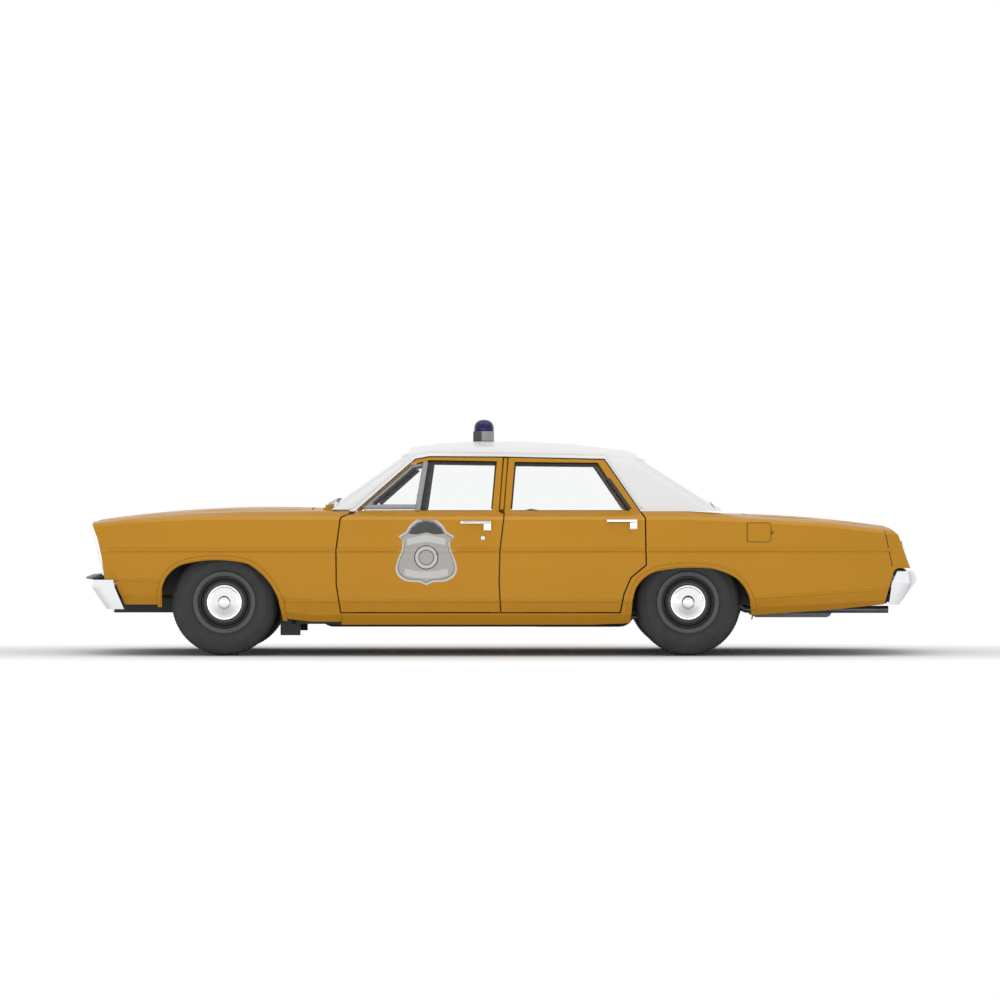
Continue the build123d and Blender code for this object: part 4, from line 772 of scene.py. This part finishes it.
def flat_plate(name, outline, lift, thick, look, body):
    """A flat closed plate in the side's own plane about the fuel lid."""
    rows = [[lid_spot(spot, level) for spot in outline] for level in (lift, lift - thick)]
    return loft(name, rows, look, body, smooth=False)


def corner_arc(across, along, margin=0.0):
    """Points round one corner of the fuel lid, widened by a margin."""
    corner = lid_corner[across]
    centre = lid_middle + Vector((across * (lid_half.x - corner), along * (lid_half.y - corner)))
    radius = corner + margin
    angles = [radians(15 * step) for step in range(7)]
    return [centre + Vector((across * cos(angle), along * sin(angle))) * radius for angle in angles]


def seal_line(margin):
    """The line of the seal above, behind and below the fuel lid."""
    ends = [Vector((seal_end_x, lid_middle.y + along * (lid_half.y + margin))) for along in (1, -1)]
    return [ends[0], *corner_arc(-1, 1, margin)[::-1], *corner_arc(-1, -1, margin), ends[1]]


lid_outline = []
for across, along in ((1, 1), (-1, 1), (-1, -1), (1, -1)):
    arc = corner_arc(across, along)
    lid_outline += arc if across == along else arc[::-1]
lid = flat_plate("fuel_lid", lid_outline, 0.0004, 0.006, PAINT, "fuel_door")
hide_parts("fuel_door")
for along, label in ((1, "high"), (-1, "low")):
    outer = corner_arc(-1, along, lid_gap)
    tip = lid_middle + Vector((-lid_half.x - 0.006, along * (lid_half.y + 0.006)))
    outline = [*outer, Vector((outer[-1].x, tip.y)), tip, Vector((tip.x, outer[0].y))]
    flat_plate(f"lid_filler_{label}", outline, 0.0006, 0.006, PAINT, "body")
seal_high, seal_low = 0.0002, -0.0040
seal_rows = []
for near, far in zip(seal_line(0.0012), seal_line(lid_gap + 0.0008)):
    seal_rows.append([lid_spot(near, seal_high), lid_spot(far, seal_high), lid_spot(far, seal_low),
                      lid_spot(near, seal_low)])
loft("lid_seal", seal_rows, SEAL, "body", smooth=False)
FILLER_PROFILE = [(0.0, 0.0085), (0.010, 0.0085), (0.012, 0.0070), (0.026, 0.0070), (0.029, 0.0085),
                  (0.033, 0.0075), (0.035, 0.0050), (0.035, -0.002)]
turned("filler_cap", FILLER_PROFILE, lid_spot(Vector((foot_x, lid_middle.y)), -pocket_depth),
       (-lid_lean_x, 1, -lid_lean_z), STAINLESS, "body", 48)
# The finger recess is a flat plate, not a dent; its darkened gold is painted shade.
recess_x = lid_low.x - 0.0045
recess = [Vector((recess_x, 0.826)), Vector((recess_x - 0.021, 0.805)), Vector((recess_x, 0.784))]
flat_plate("finger_recess_painted_shade", recess, 0.0014, 0.003, RECESS_SHADE, "body")


# Tyres with a ribbed, siped tread and moulded sidewalls, in the place of the plain rings
tyre_radius = 0.348
TYRE_PROFILE = [
    (0.196, 0.078), (0.203, 0.086), (0.214, 0.087), (0.218, 0.090), (0.240, 0.096), (0.252, 0.098),
    (0.256, 0.100), (0.276, 0.100), (0.280, 0.098), (0.300, 0.0945), (0.318, 0.087), (0.330, 0.078),
    (0.3365, 0.070), (0.3395, 0.064), (0.3305, 0.0625), (0.3310, 0.0565), (0.3425, 0.055), (0.3445, 0.040),
    (0.3360, 0.0385), (0.3360, 0.0335), (0.3455, 0.032), (0.3468, 0.0175), (0.3380, 0.016), (0.3380, 0.011),
    (0.3472, 0.0095), (0.3476, 0.0),
]
HUBS = {"front": 1.797, "rear": -1.226}
hub_y = 0.787
rim_y = 0.8695
tread_start = 12
sipes = 96


def tyre(name, centre, node, body):
    """A tyre turned from its profile, with every other step of the ribs cut back as sipes."""
    rows = TYRE_PROFILE + [(radius, -across) for radius, across in reversed(TYRE_PROFILE[:-1])]
    segments = 2 * sipes
    shoulder_rows = 5
    end = len(rows) - tread_start
    points = []
    for row, (radius, across) in enumerate(rows):
        tread = tread_start <= row < end
        shoulder = tread and not tread_start + shoulder_rows <= row < end - shoulder_rows
        for part in range(segments):
            turn = tau * (part + (0.5 if row % 4 < 2 and tread else 0.0)) / segments
            cut = 0.0055 if shoulder and part % 4 == 0 else 0.002 if tread and part % 2 == 0 else 0.0
            reach = radius - cut
            points.append(centre + Vector((reach * cos(turn), across, reach * sin(turn))))
    faces = grid_faces(len(rows), segments, loop=True)
    made = place_piece(name, mesh_of(name, points, faces), RUBBER, body)
    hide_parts(node)
    return made


# Wheel dress: a bright stepped hub cap, a raised ring at the rim and, between them, a near-black raised ring
# that is painted shade in the wheel's groove
CAP_PROFILE = [(0.1155, 0.000), (0.1165, 0.005), (0.1140, 0.011), (0.1080, 0.013), (0.1020, 0.010),
               (0.0780, 0.018), (0.0520, 0.029), (0.0400, 0.034), (0.0360, 0.040), (0.0300, 0.043),
               (0.0150, 0.045), (0.0, 0.0455)]
RING_PROFILE = [(0.1690, -0.014), (0.1720, 0.003), (0.1790, 0.0085), (0.2000, 0.0095), (0.2050, 0.0070),
                (0.2060, -0.002)]
GROOVE_PROFILE = [(0.154, 0.0), (0.1545, 0.003), (0.158, 0.0045), (0.1635, 0.0045), (0.167, 0.003),
                  (0.1675, 0.0)]
for end in ENDS:
    for hand, sign in SIDES:
        corner = f"{end}_{hand}"
        body = f"wheel_{corner}"
        centre = Vector((HUBS[end], sign * hub_y, tyre_radius))
        tyre(f"treaded_tyre_{corner}", centre, f"tyre_{corner}", body)
        hits = [side_touch(body, centre.x + reach, centre.z, sign) for reach in (0.113, 0, 0.160)]
        face, middle, groove = (hit[0].y for hit in hits)
        seat = sign * max(sign * face, sign * middle - 0.040)
        # The groove ring is near-black seal colour on the dark grey wheel: painted shade in the groove.
        for part, profile, y, look, closed in (("hub_cap", CAP_PROFILE, seat, CHROME, False),
                                               ("rim_ring", RING_PROFILE, sign * rim_y, WHEEL, True),
                                               ("wheel_groove_painted_shade", GROOVE_PROFILE, groove, SEAL, False)):
            turned(f"{part}_{corner}", profile, (centre.x, y, centre.z), (0, sign, 0), look, body, 72, closed)

# Stacked lamps: fluted lenses in bright rims
nose_foot = Vector((2.573, 0, 0.490))
nose_lean = radians(12.7)
nose_up = Vector((sin(nose_lean), 0, cos(nose_lean)))
nose_out = Vector((cos(nose_lean), 0, -sin(nose_lean)))
lamp_y = 0.786
lens_radius = 0.0725
LENS_PROFILE = [(lens_radius, -0.004)]
for angle in range(90, -1, -10):
    LENS_PROFILE.append((lens_radius * sin(radians(angle)), 0.020 * cos(radians(angle)) + 0.002))
LAMP_RIM = [(0.071, 0.000), (0.071, 0.008), (0.075, 0.013), (0.081, 0.011), (0.0815, 0.000)]
for hand, sign in SIDES:
    for label, height in (("low", 0.112), ("high", 0.272)):
        spot = nose_foot + nose_up * height + Vector((0, sign * lamp_y, 0)) - nose_out * 0.026
        turned(f"head_lens_{label}_{hand}", LENS_PROFILE, spot, nose_out, LENS_CLEAR, "body", 48)
        turned(f"head_rim_{label}_{hand}", LAMP_RIM, spot, nose_out, CHROME, "body", 48, closed=True)

# Tail: bright frames and bars over the red lenses, with a clear lens in each
tail_low = Vector((-2.656, 0, 0.602))
tail_high = Vector((-2.622, 0, 0.738))
tail_out = Vector((-0.970, 0, -0.243))
REVERSING_LENS = [(0.036, -0.002), (0.035, 0.006), (0.026, 0.011), (0.0, 0.013)]


def tail_spot(y, part):
    """A point on a tail lamp's face, from its foot to its top."""
    return tail_low.lerp(tail_high, part) + Vector((0, y, 0))


def tail_run(start, end):
    """A straight run over a tail lamp's face."""
    return [(spot, tail_out) for spot in straight_path([start, end], 0.02)]


for hand, sign in SIDES:
    near, far = sign * 0.612, sign * 0.848
    corners = [tail_spot(y, part) for y, part in ((near, 0), (far, 0), (far, 1), (near, 1), (near, 0))]
    edges = [tail_run(start, end) for start, end in zip(corners, corners[1:])]
    moulding(f"tail_lamp_frame_{hand}", edges, 0.016, 0.012, CHROME, "body", 0.003)
    bars = [tail_run(tail_spot(sign * 0.618, part), tail_spot(sign * 0.842, part)) for part in (0.33, 0.67)]
    moulding(f"tail_lamp_bars_{hand}", bars, 0.007, 0.007, CHROME, "body", 0.002)
    spot = tail_spot(sign * 0.665, 0.5)
    turned(f"reversing_lens_{hand}", REVERSING_LENS, spot, tail_out, LENS_CLEAR, "body", 32)


# Blank plates with a raised rim
PLATE_RINGS = [(1.0, -0.002), (1.0, 0.0022), (0.985, 0.0030), (0.965, 0.0030), (0.955, 0.0018), (0.4, 0.0018)]
SCREW_PROFILE = [(0.0055, 0.0), (0.005, 0.002), (0.002, 0.0028), (0, 0.003)]


def plate(name, face, across):
    """A blank plate with rounded corners, a raised rim and two screws, a little off a face that a ray met."""
    spot, normal = face
    middle = spot + normal * 0.006
    across = Vector(across)
    up = normal.cross(Vector((0, 1, 0))).normalized()
    up = up if up.z > 0 else -up
    out = across.cross(up)
    half_w, half_h, corner = 0.152, 0.076, 0.014
    outline = []
    for right, top, start in ((1, 1, 0), (-1, 1, 90), (-1, -1, 180), (1, -1, 270)):
        for step in range(5):
            angle = radians(start + 22.5 * step)
            outline.append((right * (half_w - corner) + corner * cos(angle),
                            top * (half_h - corner) + corner * sin(angle)))
    rows = []
    for scale, lift in PLATE_RINGS:
        inset_w = (1 - scale) * half_w
        inset_h = inset_w * (0.5 if scale < 0.9 else 1)
        rows.append([middle + across * (u - inset_w * (1 if u > 0 else -1))
                     + up * (v - inset_h * (1 if v > 0 else -1)) + out * lift for u, v in outline])
    loft(name, rows, WHITE, "body", smooth=False)
    for label, side in SIDES:
        spot = middle + across * (side * 0.09) + up * 0.058 + out * 0.0018
        turned(f"{name}_screw_{label}", SCREW_PROFILE, spot, out, STAINLESS, "body", 14)


plate("front_plate", touch("front_bumper", (4.0, 0, 0.383), (-1, 0, 0)), (0, 1, 0))
plate("rear_plate", touch("tail_panel", (-4.0, 0, 0.665), (1, 0, 0)), (0, -1, 0))


# Wheel liners that close the wells against the engine bay and the trunk
LINERS = {"front": ("front_fenders", 0.524, 10, 33), "rear": ("quarter_panels", 0.836, 55, 29)}
liner_radius = 0.427
liner_thick = 0.004
liner_gap = 0.003
open_side_y = 0.915
for end, (panel, inner_y, first_angle, spans) in LINERS.items():
    for hand, sign in SIDES:
        low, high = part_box(f"tyre_{end}_{hand}")
        rows = []
        for step in range(spans):
            angle = radians(first_angle + 5 * step)
            ring = []
            for radius in (liner_radius, liner_radius + liner_thick):
                x = (low.x + high.x) / 2 + radius * cos(angle)
                z = tyre_radius + radius * sin(angle)
                wall = touch(panel, (x, sign * 0.850, z), (0, sign, 0))
                outer_y = abs(wall[0].y) - liner_gap if wall else open_side_y
                ring.append((Vector((x, sign * inner_y, z)), Vector((x, sign * outer_y, z))))
            rows.append([ring[0][0], ring[0][1], ring[1][1], ring[1][0]])
        loft(f"wheel_liner_{end}_{hand}", rows, UNDERBODY, "body")

# Finned radiator core behind the grille
grille_low, grille_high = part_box("grille")
core_low, core_high = grille_low.z + 0.006, grille_high.z - 0.010
core_half = 0.690
core_rows = []
for step in range(141):
    y = core_half * (step / 70 - 1)
    x = grille_low.x - (0.008 if step % 2 else 0.013)
    back = x - 0.006
    core_rows.append([Vector(spot) for spot in ((x, y, core_low), (x, y, core_high), (back, y, core_high),
                                                (back, y, core_low))])
loft("radiator_core", core_rows, VALANCE, "body", smooth=False)

# Dark valances that close the gaps between the bumpers and the body; the front one also runs forward as a
# dark blade over the bumper's top edge, painted shade of that chrome top. A rounded face on the rear bumper,
# in a darker metal than its chrome: painted shade in its reflection
FACE_SWELL = [(0.549, -0.004), (0.546, 0.034), (0.536, 0.047), (0.510, 0.053), (0.484, 0.051), (0.462, 0.043),
              (0.440, 0.034), (0.410, 0.027), (0.380, 0.019), (0.356, 0.010), (0.342, -0.004)]
front_rows, rear_rows, face_rows = [], [], []
bar_half = 0.860
for step in range(49):
    y = bar_half * (step / 24 - 1)
    bow = sqrt(max(0.0, 1 - (y / bar_half) ** 2)) ** 0.8
    edge = touch("front_bumper", (4.0, y, 0.470), (-1, 0, 0))[0].x
    # The blade runs past the bumper's front edge: dark trim as painted shade of the bumper's top.
    blade = edge + 0.042 * bow
    front = [(2.560, 0.532), (2.620, 0.528), (blade - 0.040, 0.521), (blade - 0.006, 0.508), (blade, 0.5035),
             (blade - 0.006, 0.4995), (edge - 0.040, 0.4985), (2.560, 0.506)]
    edge = touch("rear_bumper", (-4.0, y, 0.540), (1, 0, 0))[0].x
    rear = [(-2.545, 0.5715), (-2.600, 0.5710), (edge + 0.024, 0.5640), (edge + 0.012, 0.5540),
            (-2.560, 0.5540)]
    face = []
    for z, swell in FACE_SWELL:
        base = touch("rear_bumper", (-4.0, y, z), (1, 0, 0))[0].x
        face.append((base - (swell * bow if swell > 0 else swell), z))
    for rows, outline in ((front_rows, front), (rear_rows, rear), (face_rows, face)):
        rows.append([Vector((x, y, z)) for x, z in outline])
loft("front_valance_and_painted_shade", front_rows, VALANCE, "body")
loft("rear_valance", rear_rows, VALANCE, "body")
# The face takes the darker stainless, not chrome: painted shade for the grey reflection along the bumper.
loft("rear_bumper_face_painted_shade", face_rows, STAINLESS, "body")

# Bright edges round the stacked lamps and on the fender tips
for hand, sign in SIDES:
    lamp_edge = []
    for part in range(22):
        height = 0.030 + 0.285 * part / 21
        lamp_edge.append((nose_foot + nose_up * height + Vector((0, sign * 0.886, 0)), nose_out))
    moulding(f"lamp_edge_{hand}", [lamp_edge], 0.012, 0.012, CHROME, "body", 0.004)
    starts = [(4.0, sign * (0.795 + 0.095 * part / 11), 0.848) for part in range(12)]
    tip_run = touch_run("front_fenders", starts, (-1, 0, 0))
    moulding(f"nose_tip_{hand}", [tip_run], 0.028, 0.010, CHROME, "body", taper=True)

# Beacon: a round blue dome on a dark foot, with a dark housing ahead of it
beacon_x = 0.107
dome_low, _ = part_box("beacon_dome")
DOME_PROFILE = [(0.0600, 0.0), (0.0650, 0.001), (0.0660, 0.004), (0.0655, 0.024), (0.0635, 0.037),
                (0.0580, 0.051), (0.0480, 0.063), (0.0350, 0.0715), (0.0200, 0.0765), (0.0080, 0.0778),
                (0.0, 0.078)]
FOOT_PROFILE = [(0.062, 0.0), (0.070, 0.0), (0.071, 0.003), (0.068, 0.006), (0.062, 0.006)]
dome = turned("beacon_lens", DOME_PROFILE, (beacon_x, 0, dome_low.z), (0, 0, 1), BEACON_BLUE, "body")
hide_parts("beacon_dome")
rounded_block("beacon_housing", (0.122, -0.067, 1.404), (0.179, 0.067, 1.4745), 0.006, VALANCE, "body")
turned("beacon_foot", FOOT_PROFILE, (beacon_x, 0, 1.4045), (0, 0, 1), SEAL, "body", 48, closed=True)


# Seats: crowned bench cushions with sewn channels, in the place of the plain blocks
def cushion(name, origin, along, up, size, channels, crown=0.018):
    """A bench cushion: its top is crowned and pulled in along sewn channels, and its sides tuck under."""
    origin, along, up = Vector(origin), Vector(along).normalized(), Vector(up).normalized()
    width, depth, thick = size
    columns, rows = 96, 26
    border_v, border_u = 0.10, 0.04
    points, faces = [], []
    for layer in (1, 0):
        for row in range(rows + 1):
            v = row / rows
            for column in range(columns + 1):
                u = column / columns
                edge = min(1.0, 8 * min(u, 1 - u) * width / 1.2, 6 * min(v, 1 - v))
                round_off = sqrt(max(0.0, 1 - (1 - edge) ** 2))
                inside = border_v < v < 1 - border_v and border_u < u < 1 - border_u
                seam = abs(((u - border_u) / 0.92 * channels) % 1.0 - 0.5) * 2 if inside else 0.0
                sewn = 0.010 * seam**8
                for line in (border_v, 1 - border_v):
                    sewn += 0.008 * max(0.0, 1 - abs(v - line) * 60)
                level = thick * (0.42 + 0.58 * round_off) + crown * sin(pi * u) * sin(pi * v) - sewn
                tuck = 0.010 * (1 - round_off)
                spot = origin + Vector((0, (u - 0.5) * (width - 2 * tuck), 0)) + along * (v * depth)
                points.append(spot + up * (level if layer else 0.0))
    sheet_size = (rows + 1) * (columns + 1)
    for first in (0, sheet_size):
        faces += grid_faces(rows + 1, columns + 1, around=False, first=first)
    rim = list(range(columns + 1))
    rim += [row * (columns + 1) + columns for row in range(1, rows + 1)]
    rim += [rows * (columns + 1) + column for column in range(columns - 1, -1, -1)]
    rim += [row * (columns + 1) for row in range(rows - 1, 0, -1)]
    for here, there in zip(rim, rim[1:] + rim[:1]):
        faces.append((here, there, there + sheet_size, here + sheet_size))
    made = place_piece(name, mesh_of(name, points, faces), SEAT, "body")
    return made


flat, upright = (1, 0, 0), (0, 0, 1)
front_lean, front_out = (-0.070, 0, 0.395), (0.395, 0, 0.070)
rear_lean, rear_out = (-0.085, 0, 0.253), (0.253, 0, 0.085)
front_base = cushion("front_bench_base", (-0.060, 0, 0.395), flat, upright, (1.37, 0.520, 0.165), 22)
cushion("front_bench_back", (-0.172, 0, 0.470), front_lean, front_out, (1.37, 0.485, 0.115), 22)
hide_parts("front_seat")
for name, sign in (("front_bench_box", -1), ("front_bench_box_left", 1)):
    rounded_block(name, (-0.150, sign * 0.190, 0.281), (0.440, sign * 0.655, 0.405), 0.014, VINYL, "body")
rear_base = cushion("rear_bench_base", (-1.010, 0, 0.490), flat, upright, (1.24, 0.440, 0.115), 20, 0.012)
cushion("rear_bench_back", (-1.090, 0, 0.600), rear_lean, rear_out, (1.24, 0.305, 0.080), 20, 0.010)
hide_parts("rear_seat")
for hand, sign in SIDES:
    rounded_block(f"rear_bench_box_{hand}", (-0.745, sign * 0.195, 0.281), (-0.600, sign * 0.615, 0.505),
                  0.014, VINYL, "body")


# Dash face: blank dials in bright rims, and knobs
def dash_touch(y, z):
    """Where the dash faces the seats at a height, or None."""
    return touch("dashboard", (0.0, y, z), (1, 0, 0))


KNOB_PROFILE = [(0.012, 0.0), (0.011, 0.010), (0.013, 0.013), (0.012, 0.020), (0.0, 0.022)]
for index, (y, radius) in enumerate(((0.290, 0.042), (0.380, 0.034), (0.470, 0.042))):
    spot, normal = dash_touch(y + 0.001, 0.840) or dash_touch(y, 0.800)
    dial = [(radius, -0.002), (radius, 0.008), (radius - 0.004, 0.010), (radius - 0.006, 0.006), (0.0, 0.006)]
    dial_rim = [(radius - 0.003, 0.004), (radius - 0.002, 0.013), (radius + 0.004, 0.012),
                (radius + 0.005, 0.0)]
    turned(f"dial_{index}", dial, spot, normal, DIAL, "body", 40)
    turned(f"dial_rim_{index}", dial_rim, spot, normal, CHROME, "body", 40, closed=True)
for index, y in enumerate((0.10, 0.04, -0.06, -0.12)):
    spot, normal = dash_touch(y, 0.790)
    turned(f"dash_knob_{index}", KNOB_PROFILE, spot, normal, STAINLESS, "body", 24)

# Rear-view mirror inside the windshield
stem = smooth_path([(0.640, 0, 1.300), (0.610, 0, 1.285), (0.592, 0, 1.262)], 0.01)
tube("mirror_stem", stem, 0.005, CHROME, "body")
rounded_block("cabin_mirror", (0.580, -0.120, 1.228), (0.592, 0.120, 1.280), 0.005, STAINLESS, "body")


# Door cards with bright strips
def door_card(end, hand, sign, x_from, x_to):
    """The inside of a door: a padded card with three strips."""
    door = f"door_{end}_{hand}"
    y = touch(door, ((x_from + x_to) / 2, 0.0, 0.62), (0, sign, 0))[0].y - sign * 0.0004
    face = y - sign * 0.014
    rounded_block(f"card_{end}_{hand}", (x_from, y, 0.345), (x_to, face, 0.900), 0.006, VINYL, door)
    step = 0.02
    margin = 0.03
    along = [x_from + margin + step * index for index in range(int((x_to - x_from - 2 * margin) / step))]
    runs = [[(Vector((x, face, z)), Vector((0, -sign, 0))) for x in along] for z in (0.420, 0.560, 0.860)]
    moulding(f"card_trim_{end}_{hand}", runs, 0.012, 0.004, STAINLESS, door)


for hand, sign in SIDES:
    door_card("front", hand, sign, 0.120, 0.820)
    door_card("rear", hand, sign, -0.700, -0.260)

# Engine dress under the hood: valve covers and the air cleaner's lid and nut
cover_y, cover_half = 0.262, 0.055
for hand, sign in SIDES:
    slope = Matrix.Rotation(sign * radians(-42), 3, "X")
    rounded_block(f"valve_cover_{hand}", (1.390, sign * cover_y - cover_half, 0.700),
                  (1.900, sign * cover_y + cover_half, 0.765), 0.02, ENGINE_BLUE, "body", slope)
LID_PROFILE = [(0.192, 0.0), (0.195, 0.006), (0.188, 0.012), (0.120, 0.014), (0.060, 0.018), (0.030, 0.018),
               (0.012, 0.022), (0.0, 0.023)]
cleaner_x = 1.600
NUT_PROFILE = [(0.014, 0.0), (0.014, 0.010), (0.006, 0.014), (0.0, 0.015)]
turned("air_cleaner_lid", LID_PROFILE, (cleaner_x, 0, 0.850), (0, 0, 1), DASH, "body", 56)
turned("air_cleaner_nut", NUT_PROFILE, (cleaner_x, 0, 0.872), (0, 0, 1), CHROME, "body", 16)
